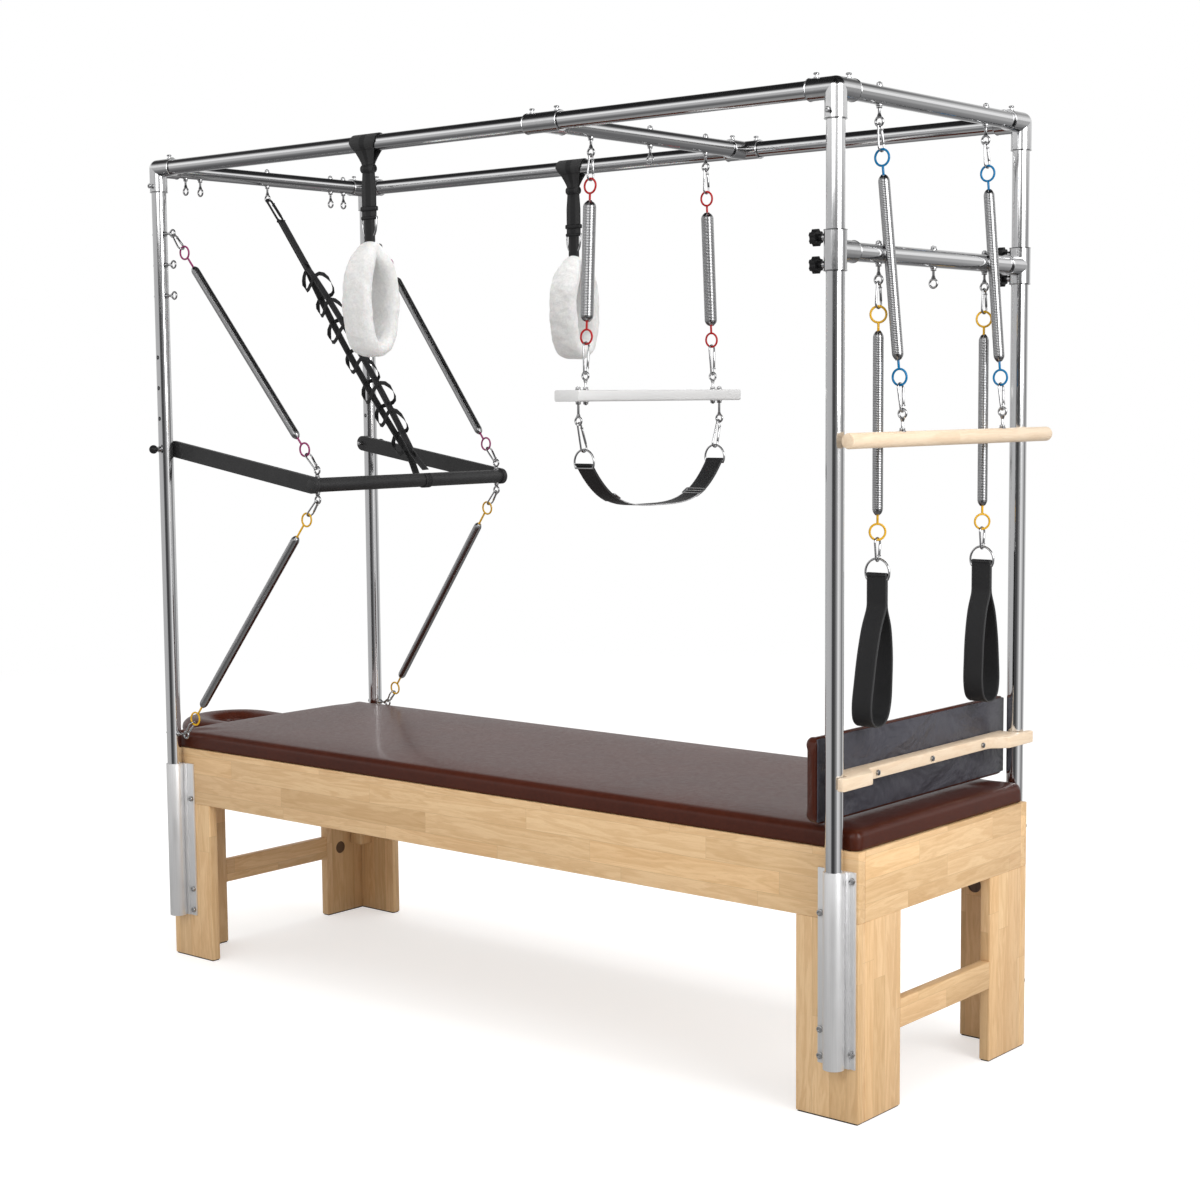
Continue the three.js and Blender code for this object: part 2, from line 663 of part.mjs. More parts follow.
// The middle line of the head cradle, a U that opens towards the mat.
function cradlePath(z) {
  const mouth = -bedEnd - CRADLE_GAP_TO_MAT;
  const bend = -bedEnd - CRADLE_REACH;
  const path = [at(mouth, -CRADLE_BEND_RADIUS, z), at((mouth + bend) / 2, -CRADLE_BEND_RADIUS, z)];
  for (let k = 0; k <= 2 * HALF_TURN_STEPS; k++) {
    const angle = (Math.PI * k) / (2 * HALF_TURN_STEPS);
    const x = bend - CRADLE_BEND_RADIUS * Math.sin(angle);
    path.push(at(x, -CRADLE_BEND_RADIUS * Math.cos(angle), z));
  }
  path.push(at((mouth + bend) / 2, CRADLE_BEND_RADIUS, z), at(mouth, CRADLE_BEND_RADIUS, z));
  return path;
}

// The cradle's board with the two rods that plug into the left end rail.
function headBoard() {
  const low = CRADLE_ROD_Z + CRADLE_ROD_RADIUS - SINK;
  const width = CRADLE_ROLL_WIDTH - 2 * CRADLE_BOARD_MARGIN;
  const middle = low + CRADLE_BOARD / 2;
  const board = sweep(cradlePath(middle), flatSection(width, CRADLE_BOARD), UP);
  const rods = sides.map(([, sy]) => {
    const outer = at(-bedEnd - CRADLE_REACH, sy * CRADLE_BEND_RADIUS, CRADLE_ROD_Z);
    return rod(outer, outer.clone().setX(-bedEnd + CRADLE_ROD_INSIDE), CRADLE_ROD_RADIUS, ROD_SIDES);
  });
  return join(board, ...rods);
}

// The cradle's padded roll: flat below, crowned above.
function headCushion() {
  const low = CRADLE_ROD_Z + CRADLE_ROD_RADIUS - SINK + CRADLE_BOARD + FIT;
  const half = CRADLE_ROLL_WIDTH / 2;
  const shares = [
    [0.8, 0], [1, 0.25], [0.96, 0.6], [0.7, 0.9], [0, 1],
    [-0.7, 0.9], [-0.96, 0.6], [-1, 0.25], [-0.8, 0],
  ];
  const section = shares.map(([u, v]) => [u * half, v * CRADLE_ROLL_HEIGHT]);
  return sweep(cradlePath(low), section, UP);
}

function socket(sx, sy) {
  const top = SOCKET_LOW + SOCKET_HEIGHT;
  const barrelRadius = TUBE_RADIUS + FIT + SOCKET_WALL;
  const foot = at(sx * UPRIGHT_X, sy * UPRIGHT_Y, SOCKET_LOW);
  const barrel = rod(foot, foot.clone().setZ(top), barrelRadius);
  const wings = mirroredBlock(
    sx, sy,
    at(UPRIGHT_X - SOCKET_WING_INBOARD, bedSide, SOCKET_LOW),
    at(UPRIGHT_X + SOCKET_WING_OUTBOARD, bedSide + SOCKET_PLATE, top));
  const seat = foot.clone().setZ(SOCKET_LOW + SOCKET_FLOOR);
  const bore = rod(seat, foot.clone().setZ(top + OVERRUN), TUBE_RADIUS + FIT);
  const clear = mirroredBlock(
    sx, sy,
    at(UPRIGHT_X - SOCKET_WING_INBOARD, bedSide - OVERRUN - barrelRadius, SOCKET_LOW - OVERRUN),
    at(UPRIGHT_X + SOCKET_WING_OUTBOARD, bedSide, top + OVERRUN));
  return cut(join(barrel, wings), bore, clear);
}

// An upright. The left ones carry the pivot hole, its spares and four eye bolts.
function upright(sx, sy) {
  const foot = at(sx * UPRIGHT_X, sy * UPRIGHT_Y, SOCKET_LOW + SOCKET_FLOOR + FIT);
  const top = foot.clone().setZ(CANOPY_Z - TUBE_END_GAP);
  const tube = pipe(foot, top, TUBE_RADIUS, TUBE_WALL);
  if (sx > 0) return tube;
  const holes = [];
  for (let k = 0; k <= SPARE_HOLES; k++) {
    const hole = foot.clone().setZ(PIVOT_Z + k * HOLE_PITCH);
    const past = ACROSS.clone().multiplyScalar(TUBE_RADIUS + OVERRUN);
    holes.push(rod(hole.clone().sub(past), hole.clone().add(past), PIN_RADIUS + FIT, ROD_SIDES));
  }
  const loads = uprightEyeHeights.map((z) => (z === pushTopZ ? pushTopLean(sy) : UP.clone().negate()));
  const eyes = uprightEyeHeights.map((z, i) => tubeEye(foot.clone().setZ(z), ALONG, loads[i]));
  eyes.push(tubeEye(foot.clone().setZ(LOW_EYE_Z), ALONG, pushLowLean(sy)));
  return join(cut(tube, ...holes), ...eyes);
}

// A corner fitting: three sleeves that meet at the canopy's corner.
function cornerFitting(sx, sy) {
  const corner = at(sx * UPRIGHT_X, sy * UPRIGHT_Y, CANOPY_Z);
  const ways = [at(-sx, 0, 0), at(0, -sy, 0), at(0, 0, -1)];
  const radius = TUBE_RADIUS + FIT + SLEEVE_WALL;
  const sleeves = ways.map((way) => {
    const start = corner.clone().addScaledVector(way, -radius);
    return rod(start, corner.clone().addScaledVector(way, CORNER_SLEEVE_REACH), radius);
  });
  const bores = ways.map((way) => {
    const start = corner.clone().addScaledVector(way, TUBE_END_GAP - FIT);
    const end = corner.clone().addScaledVector(way, CORNER_SLEEVE_REACH + OVERRUN);
    return rod(start, end, TUBE_RADIUS + FIT);
  });
  return cut(join(...sleeves), ...bores);
}

function longTube(sy) {
  const half = UPRIGHT_X - TUBE_END_GAP;
  const left = at(-half, sy * UPRIGHT_Y, CANOPY_Z);
  return pipe(left, left.clone().setX(half), TUBE_RADIUS, TUBE_WALL);
}

// An end tube with its eye bolts: each is [y, the way that its load pulls].
function endTube(sx, eyes) {
  const half = UPRIGHT_Y - TUBE_END_GAP;
  const near = at(sx * UPRIGHT_X, -half, CANOPY_Z);
  const tube = pipe(near, near.clone().setY(half), TUBE_RADIUS, TUBE_WALL);
  const down = UP.clone().negate();
  const bolts = eyes.map(([y, load]) => tubeEye(at(sx * UPRIGHT_X, y, CANOPY_Z), down, load));
  return join(tube, ...bolts);
}

// The middle cross tube with its two tees, which clamp on the long tubes.
function crossTube() {
  const sleeveRadius = TUBE_RADIUS + FIT + SLEEVE_WALL;
  const reach = UPRIGHT_Y - TUBE_RADIUS - FIT;
  const pieces = [rod(at(CROSS_X, -reach, CANOPY_Z), at(CROSS_X, reach, CANOPY_Z), TUBE_RADIUS)];
  const bores = [];
  for (const [, sy] of sides) {
    const half = TEE_SLEEVE_LENGTH / 2;
    const low = at(CROSS_X - half, sy * UPRIGHT_Y, CANOPY_Z);
    const high = at(CROSS_X + half, sy * UPRIGHT_Y, CANOPY_Z);
    pieces.push(rod(low, high, sleeveRadius));
    const stub = at(CROSS_X, sy * (UPRIGHT_Y - TEE_STUB_REACH), CANOPY_Z);
    pieces.push(rod(stub.clone().setY(sy * UPRIGHT_Y), stub, sleeveRadius));
    low.x -= OVERRUN;
    high.x += OVERRUN;
    bores.push(rod(low, high, TUBE_RADIUS + FIT));
  }
  const near = at(CROSS_X, -UPRIGHT_Y, CANOPY_Z);
  bores.push(rod(near, near.clone().setY(UPRIGHT_Y), TUBE_RADIUS - TUBE_WALL));
  const down = UP.clone().negate();
  const eyes = [-HANG_Y, 0, HANG_Y].map((y) =>
    tubeEye(at(CROSS_X, y, CANOPY_Z), down, y ? trapezeLean(Math.sign(y)) : down));
  return join(cut(join(...pieces), ...bores), ...eyes);
}

// The slide bar: a tube between two sleeves that run on the right uprights.
function slideBar() {
  const half = SLIDE_SLEEVE_LENGTH / 2;
  const sleeveRadius = TUBE_RADIUS + RUN + SLIDE_SLEEVE_WALL;
  const pieces = [];
  const bores = [];
  for (const [, sy] of sides) {
    const low = at(UPRIGHT_X, sy * UPRIGHT_Y, SLIDE_BAR_Z - half);
    const high = at(UPRIGHT_X, sy * UPRIGHT_Y, SLIDE_BAR_Z + half);
    pieces.push(rod(low, high, sleeveRadius));
    low.z -= OVERRUN;
    high.z += OVERRUN;
    bores.push(rod(low, high, TUBE_RADIUS + RUN));
    for (const z of knobHeights)
      bores.push(rod(
        at(KNOB_HUB_END_X, sy * UPRIGHT_Y, z), at(UPRIGHT_X, sy * UPRIGHT_Y, z),
        turningBore(KNOB_SCREW_RADIUS), ROD_SIDES));
  }
  const start = UPRIGHT_Y - TUBE_RADIUS - RUN;
  pieces.push(rod(at(UPRIGHT_X, -start, SLIDE_BAR_Z), at(UPRIGHT_X, start, SLIDE_BAR_Z), TUBE_RADIUS));
  bores.push(rod(
    at(UPRIGHT_X, -UPRIGHT_Y, SLIDE_BAR_Z), at(UPRIGHT_X, UPRIGHT_Y, SLIDE_BAR_Z),
    TUBE_RADIUS - TUBE_WALL));
  const down = UP.clone().negate();
  const eyes = [-HANG_Y, 0, HANG_Y].map((y) => tubeEye(at(UPRIGHT_X, y, SLIDE_BAR_Z), down, down));
  return join(cut(join(...pieces), ...bores), ...eyes);
}

// A star knob: lobed head, hub and a screw that presses on the upright.
function starKnob(sy, z) {
  const outline = [];
  const corners = 2 * KNOB_LOBES;
  for (let k = 0; k < corners; k++) {
    const angle = (2 * Math.PI * k) / corners;
    const reach = KNOB_RADIUS - KNOB_LOBE * (1 - Math.cos(KNOB_LOBES * angle)) / 2;
    outline.push([reach * Math.cos(angle), reach * Math.sin(angle)]);
  }
  const half = KNOB_THICKNESS / 2;
  const head = new THREE.ExtrudeGeometry(
    new THREE.Shape(outline.map(([x, y]) => new THREE.Vector2(x, y))),
    { depth: KNOB_THICKNESS, bevelEnabled: false });
  head.translate(0, 0, -half).rotateY(Math.PI / 2).translate(KNOB_CENTRE_X, sy * UPRIGHT_Y, z);
  const middle = at(KNOB_CENTRE_X, sy * UPRIGHT_Y, z);
  const hub = rod(middle, middle.clone().setX(KNOB_HUB_END_X), KNOB_HUB_RADIUS);
  const tip = middle.clone().setX(UPRIGHT_X - TUBE_RADIUS - FIT);
  return join(solid(head), hub, rod(middle, tip, KNOB_SCREW_RADIUS, ROD_SIDES));
}

const knobHeights = [SLIDE_BAR_Z - KNOB_SPACING / 2, SLIDE_BAR_Z + KNOB_SPACING / 2];
const uprightEyeHeights = [];
for (let k = 0; k < UPRIGHT_EYES; k++)
  uprightEyeHeights.push(PIVOT_Z + (FIRST_EYE_STEP + k) * HOLE_PITCH);
const pushTopZ = uprightEyeHeights[UPRIGHT_EYES - 1];

// Where the push-through bar's eyes and the eyes of its springs lie.
const frameEye = (sy, z) => at(-UPRIGHT_X + EYE_REACH, sy * UPRIGHT_Y, z);
const barEye = (sy, way) => at(PUSH_CORNER_X, sy * PUSH_EYE_Y, PUSH_CORNER_Z + way * PUSH_EYE_REACH);
const towards = (from, to) => to.clone().sub(from).normalize();
const pushTopLean = (sy) => towards(frameEye(sy, pushTopZ), barEye(sy, 1));
const pushLowLean = (sy) => towards(frameEye(sy, LOW_EYE_Z), barEye(sy, -1));

const bigEye = (point, lean) => ({ at: point, radius: EYE_RADIUS, wire: EYE_WIRE, lean });

function pushSpring(sy, way) {
  const top = frameEye(sy, way > 0 ? pushTopZ : LOW_EYE_Z);
  const bottom = barEye(sy, way);
  const lean = towards(top, bottom);
  return springLink(
    bigEye(top, lean), bigEye(bottom, lean.clone().negate()), PUSH_COIL_RADIUS, LONG_SPRING_CURLS);
}

// The push-through bar: two flat arms and a cross tube, with an eye above and below each corner.
function pushBar() {
  const pieces = [];
  const pivot = new THREE.Vector2(-UPRIGHT_X, PIVOT_Z);
  const corner = new THREE.Vector2(PUSH_CORNER_X, PUSH_CORNER_Z);
  const slope = corner.clone().sub(pivot).angle();
  const outline = [];
  for (const [middle, turn] of [[corner, slope], [pivot, slope + Math.PI]])
    for (let k = 0; k <= 2 * HALF_TURN_STEPS; k++) {
      const angle = turn + Math.PI * (k / (2 * HALF_TURN_STEPS) - 1 / 2);
      const reach = new THREE.Vector2(Math.cos(angle), Math.sin(angle)).multiplyScalar(ARM_HALF_WIDTH);
      outline.push(middle.clone().add(reach));
    }
  for (const [, sy] of sides) {
    const arm = new THREE.ExtrudeGeometry(
      new THREE.Shape(outline), { depth: ARM_THICKNESS, bevelEnabled: false });
    const outerY = sy > 0 ? ARM_OUTER_Y : -ARM_OUTER_Y + ARM_THICKNESS;
    pieces.push(solid(arm.rotateX(Math.PI / 2).translate(0, outerY, 0)));
    for (const way of [-1, 1]) {
      const eye = barEye(sy, way);
      const load = way > 0 ? pushTopLean(sy).negate() : pushLowLean(sy).negate();
      const wall = eye.clone().setZ(PUSH_CORNER_Z + way * (PUSH_TUBE_RADIUS - PUSH_TUBE_WALL / 2));
      const nutTop = wall.clone().setZ(PUSH_CORNER_Z + way * (PUSH_TUBE_RADIUS + NUT_HEIGHT));
      pieces.push(eyeBolt(eye, wall, load, wall, nutTop));
    }
  }
  const reach = ARM_OUTER_Y - ARM_THICKNESS + SINK;
  const left = at(PUSH_CORNER_X, -reach, PUSH_CORNER_Z);
  const right = at(PUSH_CORNER_X, reach, PUSH_CORNER_Z);
  const inner = ARM_OUTER_Y - ARM_THICKNESS - SINK;
  const bore = rod(left.clone().setY(-inner), right.clone().setY(inner), PUSH_TUBE_RADIUS - PUSH_TUBE_WALL);
  const middle = at(PUSH_CORNER_X, 0, PUSH_CORNER_Z);
  const below = middle.clone().setZ(PUSH_CORNER_Z - PUSH_TUBE_RADIUS - OVERRUN);
  const vent = rod(middle, below, PUSH_VENT_RADIUS, ROD_SIDES);
  const tube = cut(rod(left, right, PUSH_TUBE_RADIUS), bore, vent);
  const past = ARM_OUTER_Y + OVERRUN;
  const pinHole = rod(
    at(-UPRIGHT_X, -past, PIVOT_Z), at(-UPRIGHT_X, past, PIVOT_Z), turningBore(PIN_RADIUS), ROD_SIDES);
  return cut(join(tube, ...pieces), pinHole);
}

// A pivot pin with its collar and ball knob, outside the upright.
function pivotPin(sy) {
  const ballMiddle = at(-UPRIGHT_X, sy * PIN_BALL_Y, PIVOT_Z);
  const pin = rod(at(-UPRIGHT_X, sy * PIN_INNER_Y, PIVOT_Z), ballMiddle, PIN_RADIUS, ROD_SIDES);
  const collarEnd = at(-UPRIGHT_X, sy * (UPRIGHT_Y + TUBE_RADIUS + FIT), PIVOT_Z);
  const collar = rod(collarEnd, ballMiddle, PIN_COLLAR_RADIUS, ROD_SIDES);
  const ball = new THREE.SphereGeometry(PIN_BALL_RADIUS, BALL_STEPS, BALL_STEPS / 2);
  return join(pin, collar, solid(ball.translate(ballMiddle.x, ballMiddle.y, ballMiddle.z)));
}

const crossEye = (sy) => at(CROSS_X, sy * HANG_Y, CANOPY_Z - EYE_REACH);
const trapezeEye = (sy) => at(CROSS_X, sy * TRAPEZE_EYE_Y, TRAPEZE_EYE_Z);
const trapezeLean = (sy) => towards(crossEye(sy), trapezeEye(sy));

function trapezeSpring(sy) {
  const lean = trapezeLean(sy);
  return springLink(
    bigEye(crossEye(sy), lean), bigEye(trapezeEye(sy), lean.clone().negate()),
    TRAPEZE_COIL_RADIUS, SHORT_SPRING_CURLS);
}

const slingEye = (sy) => at(CROSS_X, sy * SLING_EYE_Y, SLING_EYE_Z);
const slingRing = (sy) => at(CROSS_X, sy * SLING_RING_Y, SLING_RING_Z);

// The trapeze bar, with two eyes above and two below.
function trapezeBar() {
  const half = at(TRAPEZE_BAR_DEPTH / 2, TRAPEZE_BAR_LENGTH / 2, TRAPEZE_BAR_HEIGHT / 2);
  const middle = at(CROSS_X, 0, TRAPEZE_TOP - half.z);
  const pieces = [block(middle.clone().sub(half), middle.clone().add(half))];
  for (const [, sy] of sides) {
    const upper = trapezeEye(sy);
    const lower = slingEye(sy);
    const low = TRAPEZE_TOP - TRAPEZE_BAR_HEIGHT;
    pieces.push(eyeBolt(
      upper, upper.clone().setZ(middle.z), trapezeLean(sy).negate(),
      upper.clone().setZ(TRAPEZE_TOP - SINK), upper.clone().setZ(TRAPEZE_TOP + NUT_HEIGHT)));
    pieces.push(eyeBolt(
      lower, lower.clone().setZ(middle.z), towards(lower, slingRing(sy)),
      lower.clone().setZ(low + SINK), lower.clone().setZ(low - NUT_HEIGHT), SWING_EYE_STEPS));
  }
  return join(...pieces);
}

// The sling: a band with a D ring and a snap hook at each end.
function sling() {
  const pieces = [];
  const path = [];
  for (const [, sy] of sides) {
    const eye = slingEye(sy);
    const lean = towards(eye, slingRing(sy));
    const seat = eye.clone().addScaledVector(lean, hookSeat(EYE_RADIUS, EYE_WIRE) - SLING_SWING_GAP);
    const end = slingRing(sy).addScaledVector(lean, HOOK_WIRE + DRING_WIRE - SLING_HOOK_SINK);
    pieces.push(hook(seat, end, ACROSS, HOOK_HALF_WIDTH));
    pieces.push(dRing(slingRing(sy), UP.clone().negate()));
  }
  const startZ = SLING_RING_Z - DRING_RADIUS - DRING_DEPTH + 2 * DRING_WIRE;
  const halfSpan = SLING_RING_Y;
  const steps = 4 * HALF_TURN_STEPS;
  for (let k = 0; k <= steps; k++) {
    const share = (2 * k) / steps - 1;
    const drop = (startZ - SLING_LOW_Z) * (1 - Math.abs(share) ** 2.2);
    path.push(at(CROSS_X, share * halfSpan, startZ - drop));
  }
  pieces.push(sweep(path, flatSection(SLING_THICKNESS, WEBBING), ALONG));
  return join(...pieces);
}

const rightEye = (sy) => at(UPRIGHT_X, sy * HANG_Y, CANOPY_Z - EYE_REACH);
const rollEye = (sy) => at(ROLL_X, sy * ROLL_EYE_Y, ROLL_EYE_Z);
const rollLean = (sy) =>
  towards(rightEye(sy), at(ROLL_LEAN_X, sy * HANG_Y, rightEye(sy).z - HOOK_REACH));

function rollSpring(sy) {
  return springLink(
    bigEye(rightEye(sy), rollLean(sy)), bigEye(rollEye(sy), UP.clone()),
    BLUE_COIL_RADIUS, SHORT_SPRING_CURLS);
}

// The roll-down bar: a dowel with two screw eyes.
function rollBar() {
  const end = (sy) => at(ROLL_X, sy * ROLL_HALF_LENGTH, ROLL_Z);
  const pieces = [rod(end(-1), end(1), ROLL_RADIUS)];
  for (const [, sy] of sides) {
    const eye = rollEye(sy);
    const collar = [-SINK, NUT_HEIGHT].map((z) => eye.clone().setZ(ROLL_Z + ROLL_RADIUS + z));
    pieces.push(eyeBolt(eye, eye.clone().setZ(ROLL_Z), UP, ...collar));
  }
  return join(...pieces);
}

const slideEye = (sy) => at(UPRIGHT_X, sy * HANG_Y, SLIDE_BAR_Z - EYE_REACH);
const handleRingTop = HANDLE_RING_Z + DRING_RADIUS;

function handleSpring(sy) {
  const down = UP.clone().negate();
  const bottom = {
    at: at(UPRIGHT_X, sy * HANG_Y, handleRingTop - DRING_RADIUS),
    radius: DRING_RADIUS, wire: DRING_WIRE, lean: UP.clone(),
  };
  return springLink(bigEye(slideEye(sy), down), bottom, YELLOW_COIL_RADIUS, SHORT_SPRING_CURLS);
}

// A handle: D ring, a doubled neck and an open loop for the hand or foot.
function handle(sy) {
  const x = UPRIGHT_X;
  const y = sy * HANG_Y;
  const ring = dRing(at(x, y, handleRingTop), UP.clone().negate());
  const neckTop = HANDLE_RING_Z - DRING_DEPTH + DRING_WIRE;
  const neckLow = neckTop - HANDLE_NECK_LENGTH;
  const neckPath = [at(x, y, neckTop), at(x, y, neckLow)];
  const neck = sweep(neckPath, flatSection(2 * HANDLE_THICKNESS, WEBBING), ALONG);
  const loop = [at(x, y, neckLow + HANDLE_THICKNESS)];
  const middleZ = HANDLE_LOW_Z + HANDLE_THICKNESS / 2 + HANDLE_LOOP_HALF_WIDTH;
  const shoulderZ = (neckLow + middleZ) / 2;
  loop.push(at(x, y - HANDLE_LOOP_HALF_WIDTH * 0.62, shoulderZ));
  for (let k = 0; k <= 2 * HALF_TURN_STEPS; k++) {
    const angle = (Math.PI * k) / (2 * HALF_TURN_STEPS);
    const reach = HANDLE_LOOP_HALF_WIDTH;
    loop.push(at(x, y - reach * Math.cos(angle), middleZ - reach * Math.sin(angle)));
  }
  loop.push(at(x, y + HANDLE_LOOP_HALF_WIDTH * 0.62, shoulderZ));
  return join(ring, neck, sweep(loop, flatSection(HANDLE_THICKNESS, WEBBING), ALONG, true));
}

// A cuff: webbing looped over the long tube, and a fleece loop below it.
function cuff(sy) {
  const y = sy * UPRIGHT_Y;
  const wrap = TUBE_RADIUS + RUN + CUFF_STRAP / 2;
  const over = [at(CUFF_X, y, CUFF_STRAP_JOIN_Z)];
  const arcSteps = 2 * HALF_TURN_STEPS;
  const corner = wrap / Math.cos((Math.PI * WRAP_TURN_SHARE) / arcSteps);
  for (let k = 0; k <= arcSteps; k++) {
    const angle = Math.PI / 2 + 2 * Math.PI * WRAP_TURN_SHARE * (1 / 2 - k / arcSteps);
    over.push(at(CUFF_X, y + corner * Math.cos(angle), CANOPY_Z + corner * Math.sin(angle)));
  }
  const band = sweep(over, flatSection(CUFF_STRAP, WEBBING), ALONG, true);
  const strap = sweep(
    [at(CUFF_X, y, CUFF_STRAP_JOIN_Z + SINK), at(CUFF_X, y, CUFF_TOP_Z - CUFF_PILE / 2)],
    flatSection(CUFF_STRAP_THICKNESS, WEBBING), ALONG);
  const top = CUFF_TOP_Z - CUFF_PILE / 2;
  const low = CUFF_LOW_Z + CUFF_PILE / 2;
  const loop = [];
  const steps = 4 * HALF_TURN_STEPS;
  for (let k = 0; k < steps; k++) {
    const angle = (2 * Math.PI * k) / steps;
    const pinch = Math.cos(angle) > 0 ? 1 - 0.35 * Math.cos(angle) ** 2 : 1;
    const reach = (CUFF_HALF_SPAN - CUFF_PILE / 2) * pinch;
    loop.push(at(CUFF_X, y + reach * Math.sin(angle), (top + low) / 2 + ((top - low) / 2) * Math.cos(angle)));
  }
  const shares = [
    [1, 0], [0.75, 0.85], [0, 1], [-0.75, 0.85], [-1, 0], [-0.75, -0.85], [0, -1], [0.75, -0.85],
  ];
  const section = shares.map(([u, v]) => [(u * CUFF_PILE) / 2, (v * CUFF_WIDTH) / 2]);
  return join(band, strap, sweep(loop, section, ALONG, true));
}

// The safety strap: a hook, a band sewn with loops, and a wrap round the push-through bar.
function safetyStrap() {
  const eye = at(-UPRIGHT_X, 0, CANOPY_Z - EYE_REACH);
  const bandTop = at(SAFETY_TOP_X, 0, SAFETY_TOP_Z);
  const lean = towards(eye, bandTop);
  const seat = eye.clone().addScaledVector(lean, hookSeat(EYE_RADIUS, EYE_WIRE));
  const pieces = [hook(seat, bandTop, ACROSS, SAFETY_HOOK_HALF_WIDTH)];
  const wrap = PUSH_TUBE_RADIUS + FIT + SAFETY_THICKNESS / 2;
  const wrapMiddle = at(PUSH_CORNER_X, SAFETY_LOW_Y, PUSH_CORNER_Z);
  const circle = ovalLoop(wrapMiddle, UP, ALONG, wrap, wrap, TUBE_SIDES);
  pieces.push(sweep(circle, flatSection(SAFETY_THICKNESS, SAFETY_WIDTH), ACROSS, true));
  const bandEnd = wrapMiddle.clone().addScaledVector(towards(wrapMiddle, bandTop), wrap);
  const band = [bandTop.clone().addScaledVector(lean, SINK - HOOK_WIRE), bandEnd];
  pieces.push(sweep(band, flatSection(SAFETY_THICKNESS, SAFETY_WIDTH), ACROSS));
  const out = towards(bandTop, bandEnd).cross(ACROSS).normalize();
  const loops = [];
  const steps = SAFETY_LOOPS * HALF_TURN_STEPS;
  for (let k = 0; k <= steps; k++) {
    const share = k / steps;
    const wave = Math.sin((Math.PI * k) / HALF_TURN_STEPS);
    const point = bandTop.clone().lerp(bandEnd, 0.04 + 0.92 * share);
    loops.push(point.addScaledVector(out, SAFETY_LOOP_HEIGHT * wave));
  }
  pieces.push(sweep(loops, flatSection(SAFETY_THICKNESS, SAFETY_WIDTH), ACROSS));
  return join(...pieces);
}

function footPad() {
  const low = BED_TOP + MAT_THICKNESS + MAT_CROWN + FIT;
  const height = PAD_TOP - low;
  const form = cushion(
    PAD_WIDTH, height, PAD_THICKNESS - PAD_CROWN, PAD_CROWN, PAD_CORNER_RADIUS, PAD_EDGE_RADIUS, PAD_DRAW_IN);
  form.rotateZ(Math.PI / 2).rotateY(-Math.PI / 2);
  return form.translate(PAD_BACK_X, 0, low + height / 2);
}

// The footboard's wooden bar: its ends stand outside the right uprights.
function footBar() {
  const tipX = UPRIGHT_X + TUBE_RADIUS + FIT;
  const back = PAD_BACK_X + FIT;
  const half = [
    [BAR_MIDDLE_X, BAR_STEP_INNER_Y],
    [BAR_FRONT_X, BAR_STEP_OUTER_Y],
    [BAR_FRONT_X, BAR_HALF_LENGTH],
    [tipX, BAR_HALF_LENGTH],
    [tipX, BAR_NOTCH_Y],
    [back, BAR_NOTCH_Y],
  ];
  const mirrored = half.map(([x, y]) => [x, -y]).reverse();
  const pieces = [plate([...half, ...mirrored], BAR_LOW, BAR_LOW + BAR_HEIGHT)];
  for (const y of [-BAR_BOLT_SPACING, 0, BAR_BOLT_SPACING]) {
    const head = at(BAR_MIDDLE_X + BAR_BOLT_HEAD, y, BAR_LOW + BAR_HEIGHT / 2);
    pieces.push(rod(head.clone().setX(BAR_MIDDLE_X - SINK), head, BAR_BOLT_RADIUS, ROD_SIDES));
  }
  return join(...pieces);
}

for (const [side, sy] of sides) add(bed, `${side}_side_rail`, sideRail(sy), rubberwood);
for (const [end, sx] of ends) {
  add(bed, `${end}_end_rail`, endRail(sx), rubberwood);
  add(bed, `${end}_stretcher`, stretcher(sx), rubberwood);
  for (const [side, sy] of sides) {
    add(bed, `${side}_${end}_leg`, leg(sx, sy), rubberwood);
    add(canopy, `${side}_${end}_socket`, socket(sx, sy), aluminium);
    add(canopy, `${side}_${end}_upright`, upright(sx, sy), polishedSteel);
    add(canopy, `${side}_${end}_corner_fitting`, cornerFitting(sx, sy), polishedSteel);
  }
}
add(bed, "deck_board", deckBoard(), plywood);
add(bed, "deck_bearer", deckBearer(), rubberwood);
add(bed, "mat", mat(), leather);
add(bed, "head_cradle_board", headBoard(), plywood);
add(bed, "head_cradle_cushion", headCushion(), leather);

const down = UP.clone().negate();
const safetyLean = towards(at(-UPRIGHT_X, 0, CANOPY_Z - EYE_REACH), at(SAFETY_TOP_X, 0, SAFETY_TOP_Z));
const leftEyes = LEFT_EYES_Y.map((y) => [y, y ? down : safetyLean]);
const rightEyes = sides.map(([, sy]) => [sy * HANG_Y, rollLean(sy)]);
add(canopy, "left_end_tube", endTube(-1, leftEyes), polishedSteel);
add(canopy, "right_end_tube", endTube(1, rightEyes), polishedSteel);
add(canopy, "cross_tube", crossTube(), polishedSteel);
add(apparatus, "slide_bar", slideBar(), polishedSteel);
add(apparatus, "push_through_bar", pushBar(), blackPaint);
add(apparatus, "trapeze_bar", trapezeBar(), silverPaint);
add(apparatus, "trapeze_sling", sling(), webbing);
add(apparatus, "roll_down_bar", rollBar(), beech);
add(apparatus, "safety_strap", safetyStrap(), webbing);
add(apparatus, "foot_pad", footPad(), leather);
add(apparatus, "foot_bar", footBar(), beech);
